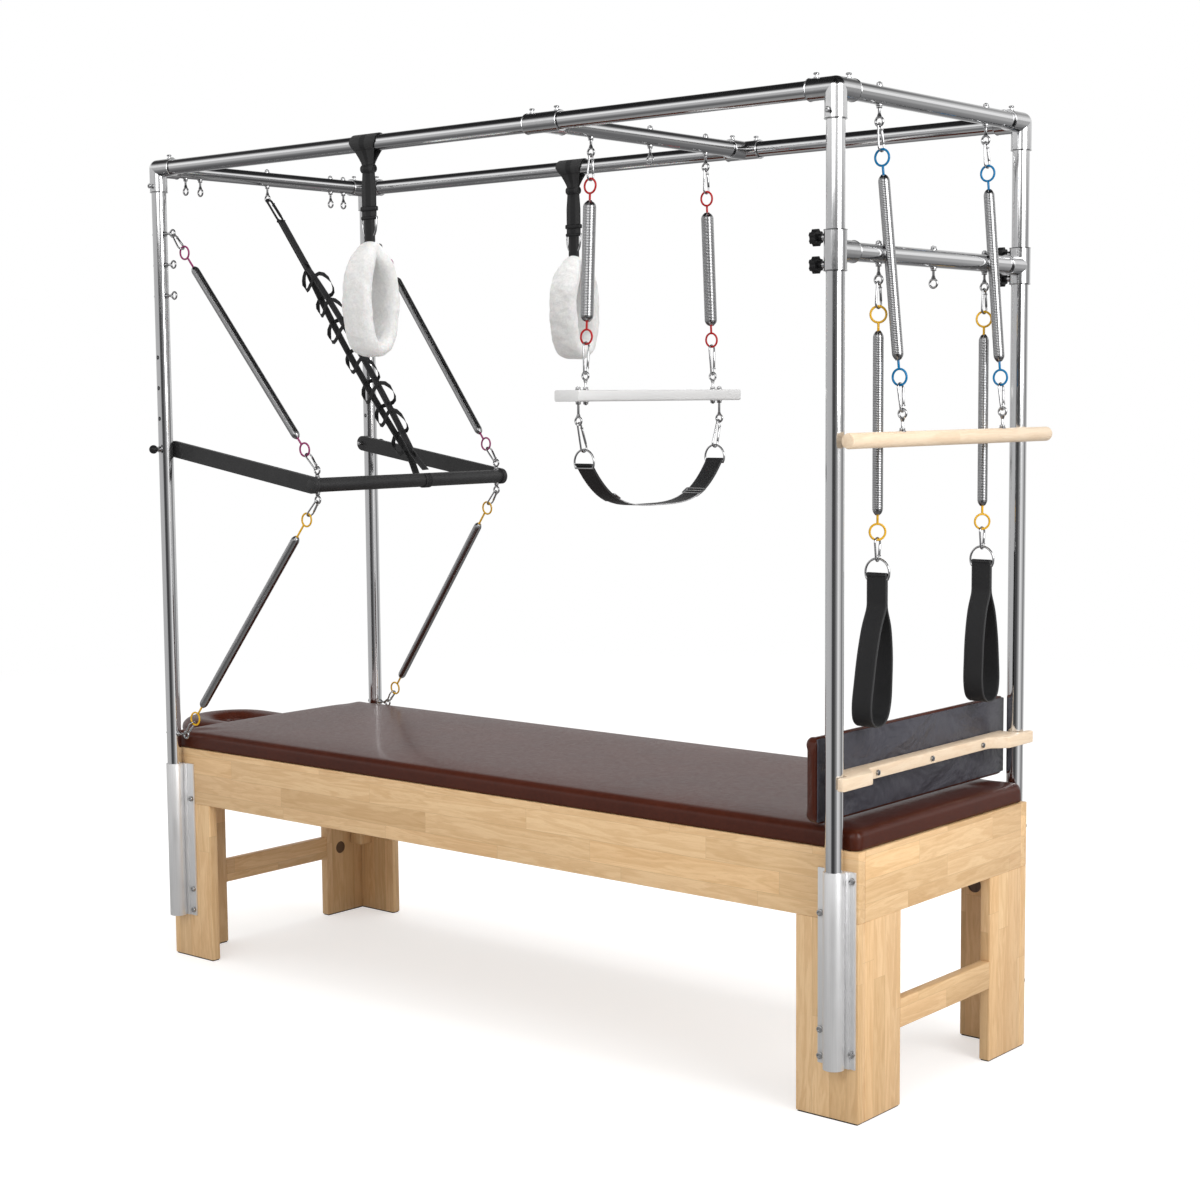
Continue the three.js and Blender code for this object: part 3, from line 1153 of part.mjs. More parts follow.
for (const [side, sy] of sides) {
  add(canopy, `${side}_long_tube`, longTube(sy), polishedSteel);
  add(apparatus, `${side}_lower_star_knob`, starKnob(sy, knobHeights[0]), blackPlastic);
  add(apparatus, `${side}_upper_star_knob`, starKnob(sy, knobHeights[1]), blackPlastic);
  add(apparatus, `${side}_pivot_pin`, pivotPin(sy), blackPlastic);
  add(apparatus, `${side}_upper_push_spring`, pushSpring(sy, 1), springSteel);
  add(apparatus, `${side}_lower_push_spring`, pushSpring(sy, -1), springSteel);
  add(apparatus, `${side}_trapeze_spring`, trapezeSpring(sy), springSteel);
  add(apparatus, `${side}_roll_down_spring`, rollSpring(sy), springSteel);
  add(apparatus, `${side}_handle_spring`, handleSpring(sy), springSteel);
  add(apparatus, `${side}_handle`, handle(sy), webbing);
  add(apparatus, `${side}_fleece_cuff`, cuff(sy), fleece);
}
console.log("least gap of a spring's wire to itself: " + leastCoilGap.toFixed(1) + " mm");

// The part's frame: the origin lies on the floor below the middle of the whole table.
const table = new THREE.Group();
table.add(bed, canopy, apparatus);
const reach = new THREE.Box3().setFromObject(table);
table.position.x = -(reach.min.x + reach.max.x) / 2;
table.position.y = -(reach.min.y + reach.max.y) / 2;

const part = new THREE.Group();
part.add(table);

export default part;
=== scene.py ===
import math

import bmesh
import bpy
from mathutils import Matrix, Vector


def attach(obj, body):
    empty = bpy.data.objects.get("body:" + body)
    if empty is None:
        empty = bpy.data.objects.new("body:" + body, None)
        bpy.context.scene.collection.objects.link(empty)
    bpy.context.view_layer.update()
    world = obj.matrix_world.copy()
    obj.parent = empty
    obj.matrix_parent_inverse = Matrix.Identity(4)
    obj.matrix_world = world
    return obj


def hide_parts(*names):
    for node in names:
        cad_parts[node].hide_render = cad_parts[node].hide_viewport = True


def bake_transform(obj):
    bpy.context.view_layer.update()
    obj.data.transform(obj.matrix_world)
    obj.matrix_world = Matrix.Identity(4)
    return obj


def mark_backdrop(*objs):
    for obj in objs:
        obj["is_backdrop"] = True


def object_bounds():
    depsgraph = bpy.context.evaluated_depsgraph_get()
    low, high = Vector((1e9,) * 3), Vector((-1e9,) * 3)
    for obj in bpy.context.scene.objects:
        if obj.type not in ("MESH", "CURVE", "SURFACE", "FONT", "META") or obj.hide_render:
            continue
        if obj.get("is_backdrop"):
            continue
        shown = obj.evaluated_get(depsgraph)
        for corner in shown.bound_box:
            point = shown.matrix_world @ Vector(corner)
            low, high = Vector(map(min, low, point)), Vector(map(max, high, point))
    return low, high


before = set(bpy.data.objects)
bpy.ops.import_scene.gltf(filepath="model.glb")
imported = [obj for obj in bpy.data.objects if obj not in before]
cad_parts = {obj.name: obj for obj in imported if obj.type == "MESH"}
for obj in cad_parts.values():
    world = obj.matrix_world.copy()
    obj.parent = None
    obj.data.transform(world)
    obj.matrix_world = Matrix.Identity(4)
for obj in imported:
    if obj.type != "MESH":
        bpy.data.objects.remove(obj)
cad_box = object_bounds()

# Places are written in millimetres from the middle of the bed, and sizes in metres.
BED_MIDDLE_X = 137.0
BED_END = 1100.0
BED_SIDE = 349.0
BED_TOP = 570.0
RAIL_LOW = 422.0
BOARD = 25.0
UPRIGHT_X = 1055.0
UPRIGHT_Y = 372.0
CANOPY_Z = 2099.0
CROSS_X = 290.0
SLIDE_BAR_Z = 1782.0
PUSH_PIVOT_X, PUSH_PIVOT_Z = -1055.0, 1370.0
PUSH_CORNER_X, PUSH_CORNER_Z = -517.0, 1284.0
PUSH_EYE_Y = 328.0
SPARE_HOLE_HEIGHTS = (1450, 1530, 1610)
UPRIGHT_EYE_HEIGHTS = (1770, 1850, 1930, 612)
HANG_Y = 214.0
TRAPEZE_Z, TRAPEZE_EYE_Y = 1500.0, 240.0
SLING_EYE_Y, SLING_RING_Y = 266.0, 247.0
ROLL_X, ROLL_Y, ROLL_Z = 1108.0, 205.0, 1406.0
HEAD_BEND_X, HEAD_ROD_Y = -1252.0, 101.0
KNOB_HEIGHTS = (("lower", 1755), ("upper", 1809))
TUBE_RADIUS = 0.019
TUBE_SIDES = 56
SLEEVE_RADIUS = 0.0225
SIDES = (("near", -1), ("far", 1))
ENDS = (("left", -1), ("right", 1))
X_WAY = Vector((1, 0, 0))
Y_WAY = Vector((0, 1, 0))
Z_WAY = Vector((0, 0, 1))


def spot(x, y, z):
    """A place in the frame, in metres, from millimetres measured from the bed's middle."""
    return Vector(((x + BED_MIDDLE_X) / 1000, y / 1000, z / 1000))


# Camera.
CAMERA_PLACE = spot(3399.4, -3892.4, 1494.3)
CAMERA_YAW, CAMERA_PITCH, CAMERA_ROLL = (math.radians(a) for a in (130.065, -5.49, -0.476))


def set_camera():
    ahead = Vector((
        math.cos(CAMERA_PITCH) * math.cos(CAMERA_YAW),
        math.cos(CAMERA_PITCH) * math.sin(CAMERA_YAW),
        math.sin(CAMERA_PITCH)))
    level = ahead.cross(Z_WAY).normalized()
    above = level.cross(ahead)
    right = math.cos(CAMERA_ROLL) * level + math.sin(CAMERA_ROLL) * above
    up = math.cos(CAMERA_ROLL) * above - math.sin(CAMERA_ROLL) * level
    bpy.ops.object.camera_add(location=CAMERA_PLACE)
    camera = bpy.context.object
    camera.name = "photo_camera"
    turn = Matrix((right, up, -ahead)).transposed().to_4x4()
    camera.matrix_world = Matrix.Translation(CAMERA_PLACE) @ turn
    camera.data.lens = 63.0
    camera.data.sensor_width = 36.0
    camera.data.clip_end = 60.0
    bpy.context.scene.camera = camera


set_camera()


# Making and joining pieces.
def deselect():
    if bpy.context.mode != "OBJECT":
        bpy.ops.object.mode_set(mode="OBJECT")
    bpy.ops.object.select_all(action="DESELECT")


def only(piece):
    deselect()
    piece.select_set(True)
    bpy.context.view_layer.objects.active = piece
    return piece


def settle(piece, name=None):
    """Puts the piece's place into its mesh, so that its object lies at the origin."""
    only(piece)
    bpy.ops.object.transform_apply(location=True, rotation=True, scale=True)
    if name:
        piece.name = name
        piece.data.name = name
    return piece


def turn_to(way):
    return Vector(way).to_track_quat("Z", "Y").to_euler()


def pick(piece, kind, test):
    """Opens the piece in edit mode with only the faces or edges that pass the test selected."""
    only(piece)
    bpy.ops.object.mode_set(mode="EDIT")
    bpy.ops.mesh.select_mode(type=kind)
    mesh = bmesh.from_edit_mesh(piece.data)
    for part in mesh.faces if kind == "FACE" else mesh.edges:
        part.select_set(bool(test(part)))
    if kind == "FACE":
        mesh.select_flush_mode()
    bmesh.update_edit_mesh(piece.data)


def close_edit(piece):
    bpy.ops.object.mode_set(mode="OBJECT")
    return piece


def runs_along(axis, least=0.01):
    """The test for edges that run along X, Y or Z, given as 0, 1 or 2."""
    return lambda edge: abs((edge.verts[0].co - edge.verts[1].co)[axis]) > least


def lies_at(axis, place):
    """The test for edges that lie at that X, Y or Z."""
    return lambda edge: all(abs(corner.co[axis] - place) < 1e-4 for corner in edge.verts)


def round_edges(piece, test, width, segments):
    pick(piece, "EDGE", test)
    bpy.ops.mesh.bevel(offset=width, segments=segments)
    return close_edit(piece)


def hollow(piece, test, wall, depth):
    """Sinks the faces that pass the test, but for a wall round them."""
    pick(piece, "FACE", test)
    bpy.ops.mesh.inset(thickness=wall)
    bpy.ops.mesh.extrude_faces_move(TRANSFORM_OT_shrink_fatten={"value": -depth})
    return close_edit(piece)


def cap_ends(piece):
    pick(piece, "EDGE", lambda edge: edge.is_boundary)
    bpy.ops.mesh.fill_holes(sides=0)
    return close_edit(piece)


def use_modifier(piece, kind, **settings):
    only(piece)
    made = piece.modifiers.new(kind.lower(), kind)
    for key, value in settings.items():
        setattr(made, key, value)
    bpy.ops.object.modifier_apply(modifier=made.name)
    return piece


def ease_edges(piece, width, segments=2, angle=35):
    return use_modifier(
        piece, "BEVEL", width=width, segments=segments, limit_method="ANGLE",
        angle_limit=math.radians(angle), harden_normals=False)


def smooth(piece, angle=40):
    only(piece)
    bpy.ops.object.shade_smooth_by_angle(angle=math.radians(angle))
    return piece


def outward(piece):
    only(piece)
    bpy.ops.object.mode_set(mode="EDIT")
    bpy.ops.mesh.select_all(action="SELECT")
    bpy.ops.mesh.remove_doubles(threshold=1e-6)
    bpy.ops.mesh.normals_make_consistent(inside=False)
    return close_edit(piece)


def cover(piece, material):
    piece.data.materials.clear()
    piece.data.materials.append(material)
    return piece


def dressed(piece, material, angle=40):
    """The piece in its material, shaded smooth where it bends less than the angle."""
    return smooth(cover(piece, material), angle)


def joined(name, pieces):
    pieces = [piece for piece in pieces if piece]
    deselect()
    for piece in pieces:
        piece.select_set(True)
    bpy.context.view_layer.objects.active = pieces[0]
    if len(pieces) > 1:
        bpy.ops.object.join()
    pieces[0].name = name
    pieces[0].data.name = name
    return pieces[0]


def added_piece(name, mesh):
    piece = bpy.data.objects.new(name, mesh)
    bpy.context.scene.collection.objects.link(piece)
    return piece


def woven(name, vertices, faces):
    """A piece of its own from corners and faces."""
    mesh = bpy.data.meshes.new(name)
    mesh.from_pydata([tuple(vertex) for vertex in vertices], [], faces)
    return added_piece(name, mesh)


def copy_of(piece, name="copy", matrix=None):
    """A copy with a mesh of its own, moved, turned or mirrored by the matrix."""
    made = added_piece(name, piece.data.copy())
    if matrix is not None:
        made.data.transform(matrix)
        if matrix.determinant() < 0:
            made.data.flip_normals()
    return made


def discard(*pieces):
    for piece in pieces:
        bpy.data.objects.remove(piece)


MIRROR_Y = Matrix.Scale(-1, 4, Y_WAY)
MIRROR_X = Matrix.Translation((2 * BED_MIDDLE_X / 1000, 0, 0)) @ Matrix.Scale(-1, 4, X_WAY)


def finished(piece, body, node):
    """Hangs the piece on the body that carries it, and hides the CAD node that it stands for."""
    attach(piece, body)
    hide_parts(node)
    return piece


def on_four_corners(piece, kind, node):
    """Finishes the near right piece and its three mirrored copies."""
    placed = {("near", "right"): piece}
    for corner, matrix in ((("near", "left"), MIRROR_X), (("far", "right"), MIRROR_Y),
                           (("far", "left"), MIRROR_Y @ MIRROR_X)):
        placed[corner] = copy_of(piece, "_".join((*corner, kind)), matrix)
    for corner, each in placed.items():
        finished(each, "frame", "_".join((*corner, node)))


def block(low, high, edge=0.0, segments=2, name="block"):
    size = high - low
    bpy.ops.mesh.primitive_cube_add(size=1, location=(low + high) / 2, scale=size)
    piece = settle(bpy.context.object, name)
    return ease_edges(piece, edge, segments) if edge else piece


def round_bar(start, end, radius, sides=32, edge=0.0, name="bar"):
    run = end - start
    bpy.ops.mesh.primitive_cylinder_add(
        vertices=sides, radius=radius, depth=run.length, location=(start + end) / 2,
        rotation=turn_to(run))
    piece = settle(bpy.context.object, name)
    return ease_edges(piece, edge) if edge else piece


def tube(start, end, radius, wall=0.0015, depth=0.03, sides=40, name="tube"):
    """A round bar whose two ends are hollowed out, as a tube's are."""
    piece = round_bar(start, end, radius, sides, name=name)
    way = (end - start).normalized()
    return hollow(piece, lambda face: abs(face.normal.dot(way)) > 0.99, wall, depth)


def ball(middle, radius, sides=24):
    bpy.ops.mesh.primitive_uv_sphere_add(
        segments=sides, ring_count=sides // 2, radius=radius, location=middle)
    return settle(bpy.context.object, "ball")


def ring(middle, normal, radius, wire, steps=40, sides=12):
    bpy.ops.mesh.primitive_torus_add(
        major_radius=radius, minor_radius=wire, major_segments=steps, minor_segments=sides,
        location=middle, rotation=turn_to(normal))
    return settle(bpy.context.object, "ring")


def bent_rod(points, radius, closed=False, roundness=4):
    """A wire of round section through the points, with closed ends."""
    bpy.ops.curve.primitive_bezier_curve_add()
    wire = bpy.context.object
    curve = wire.data
    curve.splines.clear()
    line = curve.splines.new("POLY")
    line.points.add(len(points) - 1)
    for point, place in zip(line.points, points):
        point.co = (*place, 1)
    line.use_cyclic_u = closed
    curve.dimensions = "3D"
    curve.bevel_depth = radius
    curve.bevel_resolution = roundness
    curve.use_fill_caps = not closed
    only(wire)
    bpy.ops.object.convert(target="MESH")
    return outward(settle(bpy.context.object, "wire"))


def arc(middle, cos_way, sin_way, steps, start=0.0, sweep=math.pi):
    """Places on an arc, in even steps with both ends included."""
    places = []
    for k in range(steps + 1):
        angle = start + sweep * k / steps
        places.append(middle + cos_way * math.cos(angle) + sin_way * math.sin(angle))
    return places


def through(points, steps):
    """A smooth open run of places through the points."""
    count = len(points)
    run = []
    for i in range(count - 1):
        a, b, c, d = (points[max(0, min(count - 1, i + k))] for k in (-1, 0, 1, 2))
        for step in range(steps):
            t = step / steps
            run.append(0.5 * (2 * b + (c - a) * t + (2 * a - 5 * b + 4 * c - d) * t * t
                              + (3 * b - a - 3 * c + d) * t ** 3))
    run.append(points[-1].copy())
    return run


def band_section(width, thickness):
    half, rim = width / 2, min(thickness * 0.6, width / 8)
    section = [(thickness / 2, v) for v in (-half + rim, -half / 2, 0, half / 2, half - rim)]
    section += [(thickness / 4, half), (-thickness / 4, half)]
    section += [(-thickness / 2, v) for v in (half - rim, half / 2, 0, -half / 2, -half + rim)]
    return section + [(-thickness / 4, -half), (thickness / 4, -half)]


def webbing_band(path, across, width, thickness, material, name, closed=False, narrowed=None):
    """Woven webbing along a path. Its UV map gives metres along and across the band.
    Where the band is gathered, narrowed gives its share of the width at each point."""
    across = Vector(across).normalized()
    section = band_section(width, thickness)
    shares = narrowed or [1.0] * len(path)
    count, sides = len(path), len(section)
    vertices, lengths, travelled = [], [], 0.0
    for i, point in enumerate(path):
        before = path[i - 1] if closed or i else point
        after = path[(i + 1) % count] if closed or i < count - 1 else point
        way = (after - before).normalized()
        side = (across - way * across.dot(way)).normalized()
        out = way.cross(side)
        vertices += [point + out * u + side * v * shares[i] for u, v in section]
        lengths.append(travelled)
        travelled += (path[(i + 1) % count] - point).length
    lengths.append(travelled)
    faces, coordinates = [], []
    for i in range(count if closed else count - 1):
        here, there = i * sides, ((i + 1) % count) * sides
        for k in range(sides):
            l = (k + 1) % sides
            faces.append((here + k, there + k, there + l, here + l))
            v0, v1 = section[k][1], section[l][1]
            coordinates += [
                (lengths[i], v0), (lengths[i + 1], v0), (lengths[i + 1], v1), (lengths[i], v1)]
    if not closed:
        last = (count - 1) * sides
        faces += [tuple(range(sides)), tuple(last + k for k in reversed(range(sides)))]
        coordinates += [(0, v) for _, v in section]
        coordinates += [(travelled, v) for _, v in reversed(section)]
    piece = woven(name, vertices, faces)
    layer = piece.data.uv_layers.new(name="UVMap")
    for loop, pair in zip(layer.data, coordinates):
        loop.uv = pair
    only(piece)
    bpy.ops.object.mode_set(mode="EDIT")
    bpy.ops.mesh.select_all(action="SELECT")
    bpy.ops.mesh.normals_make_consistent(inside=False)
    return dressed(close_edit(piece), material, 50)


# Materials.
def put(tree, kind, inputs=None, **settings):
    """A node of the tree, with its settings, and its inputs given as numbers or outputs."""
    made = tree.nodes.new("ShaderNode" + kind)
    for key, value in settings.items():
        setattr(made, key, value)
    for key, value in (inputs or {}).items():
        socket = made.inputs[key]
        if isinstance(value, bpy.types.NodeSocket):
            tree.links.new(value, socket)
        else:
            socket.default_value = value
    return made


def new_material(name, **sockets):
    material = bpy.data.materials.new(name)
    material.use_nodes = True
    tree = material.node_tree
    shader = tree.nodes["Principled BSDF"]
    for key, value in sockets.items():
        shader.inputs[key.replace("_", " ")].default_value = value
    place = put(tree, "TexCoord")
    return material, tree, shader, place


def scaled(tree, vector, scale):
    return put(tree, "VectorMath", {0: vector, 1: scale}, operation="MULTIPLY").outputs[0]


def added(tree, a, b):
    return put(tree, "VectorMath", {0: a, 1: b}, operation="ADD").outputs[0]


def noise(tree, vector, scale, detail=3.0, roughness=0.5, distortion=0.0):
    return put(tree, "TexNoise", {
        "Vector": vector, "Scale": scale, "Detail": detail, "Roughness": roughness,
        "Distortion": distortion}).outputs["Fac"]


def ramp(tree, value, stops):
    """Colours at their places from 0 to 1, mixed in between."""
    made = put(tree, "ValToRGB", {0: value})
    while len(made.color_ramp.elements) < len(stops):
        made.color_ramp.elements.new(0.5)
    for element, (position, color) in zip(made.color_ramp.elements, stops):
        element.position = position
        element.color = (*color, 1)
    return made.outputs["Color"]


def span(tree, value, low, high, to_low, to_high):
    return put(tree, "MapRange", {
        0: value, 1: low, 2: high, 3: to_low, 4: to_high}).outputs[0]


def mixed(tree, share, a, b, blend="MIX"):
    made = put(tree, "Mix", data_type="RGBA", blend_type=blend)
    for key, value in ((0, share), (6, a), (7, b)):
        if isinstance(value, bpy.types.NodeSocket):
            tree.links.new(value, made.inputs[key])
        else:
            made.inputs[key].default_value = value if key == 0 else (*value, 1)
    return made.outputs[2]


def calc(tree, operation, a, b=0.0):
    return put(tree, "Math", {0: a, 1: b}, operation=operation).outputs[0]


def weighed(tree, a, a_share, b, b_share):
    """The two values added up, each one times its share."""
    return calc(tree, "ADD", calc(tree, "MULTIPLY", a, a_share), calc(tree, "MULTIPLY", b, b_share))


def dimmed(color, share):
    return tuple(share * part for part in color)


def painted(tree, shader, color, roughness):
    tree.links.new(color, shader.inputs["Base Color"])
    tree.links.new(roughness, shader.inputs["Roughness"])


def relief(tree, shader, height, distance, strength, below=None):
    """Raises the skin by the height, on top of the relief below it."""
    inputs = {"Height": height, "Distance": distance, "Strength": strength}
    if below is not None:
        inputs["Normal"] = below
    tree.links.new(put(tree, "Bump", inputs).outputs[0], shader.inputs["Normal"])


def wood(name, along, across, light, dark, stave_width, stave_length, flecks, joints=True):
    """Lacquered hardwood. along and across are weights of X, Y and Z."""
    material, tree, shader, place = new_material(name, Coat_Weight=0.12, Coat_Roughness=0.3)
    vector = place.outputs["Object"]
    run, row = (
        put(tree, "VectorMath", {0: vector, 1: weights}, operation="DOT_PRODUCT").outputs["Value"]
        for weights in (along, across))
    staves = put(tree, "TexBrick", {
        "Vector": put(tree, "CombineXYZ", {0: run, 1: row, 2: 0.0}).outputs[0],
        "Color1": (0, 0, 0, 1), "Color2": (1, 1, 1, 1), "Mortar": (0.5, 0.5, 0.5, 1),
        "Scale": 1.0, "Mortar Size": 0.0004, "Mortar Smooth": 0.3, "Bias": 0.0,
        "Brick Width": stave_length, "Row Height": stave_width},
        offset=0.37, offset_frequency=2, squash=0.72, squash_frequency=3)
    own = put(tree, "SeparateColor", {0: staves.outputs["Color"]}).outputs[0]
    jump = put(tree, "CombineXYZ", {
        axis: calc(tree, "MULTIPLY", own, shift) for axis, shift in enumerate((17.3, 9.1, 5.7))})

    def grain(with_it, across_it):
        """Places drawn out along the grain, which jump from stave to stave."""
        scale = tuple(with_it if weight > 0.5 else across_it for weight in along)
        return added(tree, scaled(tree, vector, scale), jump.outputs[0])

    broad = noise(tree, grain(3.0, 26.0), 1.3, 4.0, 0.55, 0.6)
    figure = calc(tree, "SINE", weighed(tree, broad, 34.0, row, 160.0))
    fine = noise(tree, grain(30.0, 900.0), 1.0, 2.0, 0.6)
    pores = span(tree, noise(tree, grain(60.0, 1500.0), 1.0, 1.0), flecks, flecks + 0.1, 0.0, 1.0)
    tone = calc(tree, "ADD", span(tree, figure, -1.0, 1.0, 0.0, 0.34),
                span(tree, fine, 0.25, 0.75, 0.0, 0.3))
    tone = calc(tree, "ADD", tone, span(tree, broad, 0.3, 0.7, -0.05, 0.36))
    color = ramp(tree, tone, [(0.1, light), (0.95, dark)])
    if joints:
        tint = ramp(tree, own, [
            (0.0, (0.84, 0.8, 0.74)), (0.35, (1.0, 1.0, 1.0)), (0.7, (0.95, 0.92, 0.9)),
            (1.0, (1.08, 1.06, 1.02))])
        color = mixed(tree, 1.0, color, tint, "MULTIPLY")
    color = mixed(tree, calc(tree, "MULTIPLY", pores, 0.3), color, dimmed(dark, 0.45))
    if joints:
        seams = calc(tree, "MULTIPLY", staves.outputs["Fac"], 0.45)
        color = mixed(tree, seams, color, dimmed(dark, 0.5))
    painted(tree, shader, color, span(tree, fine, 0.2, 0.8, 0.38, 0.54))
    depth = calc(tree, "SUBTRACT", span(tree, fine, 0.0, 1.0, 0.0, 0.35), pores)
    relief(tree, shader, depth, 0.0003, 0.35)
    return material


def leather(name, color, shade, roughness, grain=620.0, wrinkle=0.0):
    material, tree, shader, place = new_material(
        name, Coat_Weight=0.26, Coat_Roughness=0.16, Specular_IOR_Level=0.12)
    vector = place.outputs["Object"]
    cloud = noise(tree, vector, 6.0, 4.0, 0.6)
    mottle = noise(tree, vector, 90.0, 3.0, 0.6)
    base = mixed(tree, span(tree, cloud, 0.3, 0.7, 0.0, 1.0), color, shade)
    base = mixed(tree, span(tree, mottle, 0.35, 0.75, 0.0, 0.3), base, dimmed(color, 1.5))
    painted(tree, shader, base, span(tree, mottle, 0.3, 0.7, roughness - 0.04, roughness + 0.05))
    stir = put(tree, "TexNoise", {"Vector": vector, "Scale": 200.0}).outputs["Color"]
    cells = put(tree, "TexVoronoi", {
        "Vector": added(tree, vector, scaled(tree, stir, (0.002, 0.002, 0.002))),
        "Scale": grain}, feature="DISTANCE_TO_EDGE").outputs["Distance"]
    below = None
    if wrinkle:
        folds = noise(tree, scaled(tree, vector, (6.0, 7.0, 11.0)), 1.0, 3.0, 0.5, 0.5)
        below = put(tree, "Bump", {
            "Height": folds, "Distance": 0.05, "Strength": wrinkle}).outputs[0]
    relief(tree, shader, span(tree, cells, 0.0, 0.22, 0.0, 1.0), 0.00025, 0.3, below)
    return material


def steel(name, color, roughness, streaks, depth=0.0, tint=0.08, metal=1.0):
    """Metal with fine streaks. The streaks are long where their scale is small."""
    material, tree, shader, place = new_material(name, Metallic=metal)
    vector = place.outputs["Object"]
    brushed = noise(tree, scaled(tree, vector, streaks), 1.0, 4.0, 0.6)
    handled = noise(tree, vector, 14.0, 4.0, 0.65)
    shade = mixed(tree, span(tree, brushed, 0.3, 0.7, 0.0, 1.0), color, dimmed(color, 1 - tint))
    rough = calc(tree, "ADD", span(tree, handled, 0.35, 0.75, roughness * 0.8, roughness * 1.35),
                 span(tree, brushed, 0.3, 0.7, 0.0, roughness * 0.35))
    painted(tree, shader, shade, rough)
    if depth:
        relief(tree, shader, brushed, 0.0002, depth)
    return material


def coated(name, color, roughness, grain, depth, coat=0.0):
    """Paint, plastic or a dipped coating with a fine skin."""
    material, tree, shader, place = new_material(
        name, Coat_Weight=coat, Coat_Roughness=0.1, Specular_IOR_Level=0.3)
    vector = place.outputs["Object"]
    skin = noise(tree, vector, grain, 3.0, 0.6)
    cloud = noise(tree, vector, 25.0, 3.0, 0.6)
    base = mixed(tree, span(tree, cloud, 0.3, 0.7, 0.0, 1.0), color, dimmed(color, 0.82))
    base = mixed(tree, span(tree, skin, 0.55, 0.8, 0.0, 0.35), base, dimmed(color, 1.35))
    painted(tree, shader, base, span(tree, skin, 0.3, 0.7, roughness - 0.06, roughness + 0.08))
    relief(tree, shader, skin, 0.0004, depth)
    return material


def webbing_material(name, color, edge, width):
    """Herringbone webbing on a UV map in metres, with a paler edge."""
    material, tree, shader, place = new_material(
        name, Sheen_Weight=0.06, Sheen_Roughness=0.4, Specular_IOR_Level=0.35)
    parts = put(tree, "SeparateXYZ", {0: place.outputs["UV"]})
    run, row = parts.outputs[0], parts.outputs[1]
    rib = calc(tree, "PINGPONG", row, 0.0025)
    twill = calc(tree, "SINE", weighed(tree, run, 4200.0, rib, 4200.0))
    cross = calc(tree, "SINE", calc(tree, "MULTIPLY", row, 5026.0))
    weave = weighed(tree, twill, 0.6, cross, 0.4)
    fuzz = noise(tree, place.outputs["Object"], 900.0, 3.0, 0.7)
    shade = mixed(tree, span(tree, weave, -1.0, 1.0, 0.0, 1.0), dimmed(color, 0.55), color)
    rim = span(tree, calc(tree, "ABSOLUTE", row), width / 2 - 0.004, width / 2 - 0.0025, 0.0, 1.0)
    shade = mixed(tree, calc(tree, "MULTIPLY", rim, 0.8), shade, edge)
    shade = mixed(tree, span(tree, fuzz, 0.6, 0.85, 0.0, 0.2), shade, dimmed(color, 1.6))
    painted(tree, shader, shade, span(tree, fuzz, 0.2, 0.8, 0.5, 0.68))
    relief(tree, shader, weave, 0.00025, 0.25)
    return material


def fleece_material():
    material, tree, shader, place = new_material(
        "fleece_pile", Sheen_Weight=0.5, Sheen_Roughness=0.6, Roughness=1.0,
        Subsurface_Weight=0.12, Subsurface_Scale=0.008)
    vector = place.outputs["Object"]
    tufts = noise(tree, vector, 160.0, 5.0, 0.7, 0.4)
    clumps = noise(tree, vector, 32.0, 3.0, 0.6)
    both = weighed(tree, tufts, 0.65, clumps, 0.35)
    shade = ramp(tree, both, [(0.28, (0.56, 0.56, 0.56)), (0.5, (0.68, 0.68, 0.675)),
                              (0.68, (0.78, 0.78, 0.775))])
    tree.links.new(shade, shader.inputs["Base Color"])
    fibres = noise(tree, scaled(tree, vector, (900.0, 900.0, 420.0)), 1.0, 3.0, 0.8)
    low = put(tree, "Bump", {"Height": tufts, "Distance": 0.005, "Strength": 0.3}).outputs[0]
    relief(tree, shader, fibres, 0.0012, 0.35, low)
    return material


RUBBERWOOD = (0.78, 0.55, 0.31), (0.61, 0.38, 0.18)
BEECH_TONES = (0.78, 0.64, 0.48), (0.68, 0.51, 0.35)
rail_wood = wood("rubberwood_rail", (1, 0, 0), (0, 0.31, 1), *RUBBERWOOD, 0.0496, 0.52, 0.66)
end_wood = wood("rubberwood_end", (0, 1, 0), (0.31, 0, 1), *RUBBERWOOD, 0.0496, 0.43, 0.66)
leg_wood = wood("rubberwood_leg", (0, 0, 1), (1, 1, 0), *RUBBERWOOD, 0.043, 0.47, 0.66)
ply_wood = wood("plywood", (1, 0, 0), (0, 1, 6), (0.66, 0.43, 0.22), (0.5, 0.29, 0.12),
                0.3, 0.9, 0.7, joints=False)
# Dark wood for the cups inside the holes in the legs: painted shade that stands in for the depth of
# the holes, not the wood's own colour.
painted_shade_wood = wood("painted_shade_wood", (0, 0, 1), (1, 1, 0), (0.12, 0.065, 0.03), (0.07, 0.036, 0.016),
                  0.043, 0.47, 0.7, joints=False)
beech = wood("beech", (0, 1, 0), (1, 0, 1), *BEECH_TONES, 0.09, 2.0, 0.64, joints=False)
brown_leather = leather("brown_leather", (0.06, 0.0125, 0.0055), (0.044, 0.009, 0.004), 0.33)
black_vinyl = leather(
    "black_vinyl", (0.06, 0.059, 0.071), (0.046, 0.0455, 0.056), 0.34, 900.0, 0.8)
tube_steel = {
    axis: steel("polished_steel_" + axis, (0.78, 0.78, 0.785), 0.08, streaks, 0.005)
    for axis, streaks in (
        ("x", (3.0, 160.0, 160.0)), ("y", (160.0, 3.0, 160.0)), ("z", (160.0, 160.0, 3.0)))}
fitting_steel = steel("fitting_steel", (0.72, 0.72, 0.725), 0.12, (60.0, 60.0, 60.0), 0.01)
bright_steel = steel("bright_steel", (0.54, 0.54, 0.545), 0.1, (90.0, 90.0, 90.0))
spring_steel = steel("spring_wire", (0.4, 0.4, 0.405), 0.17, (60.0, 60.0, 60.0), tint=0.1)
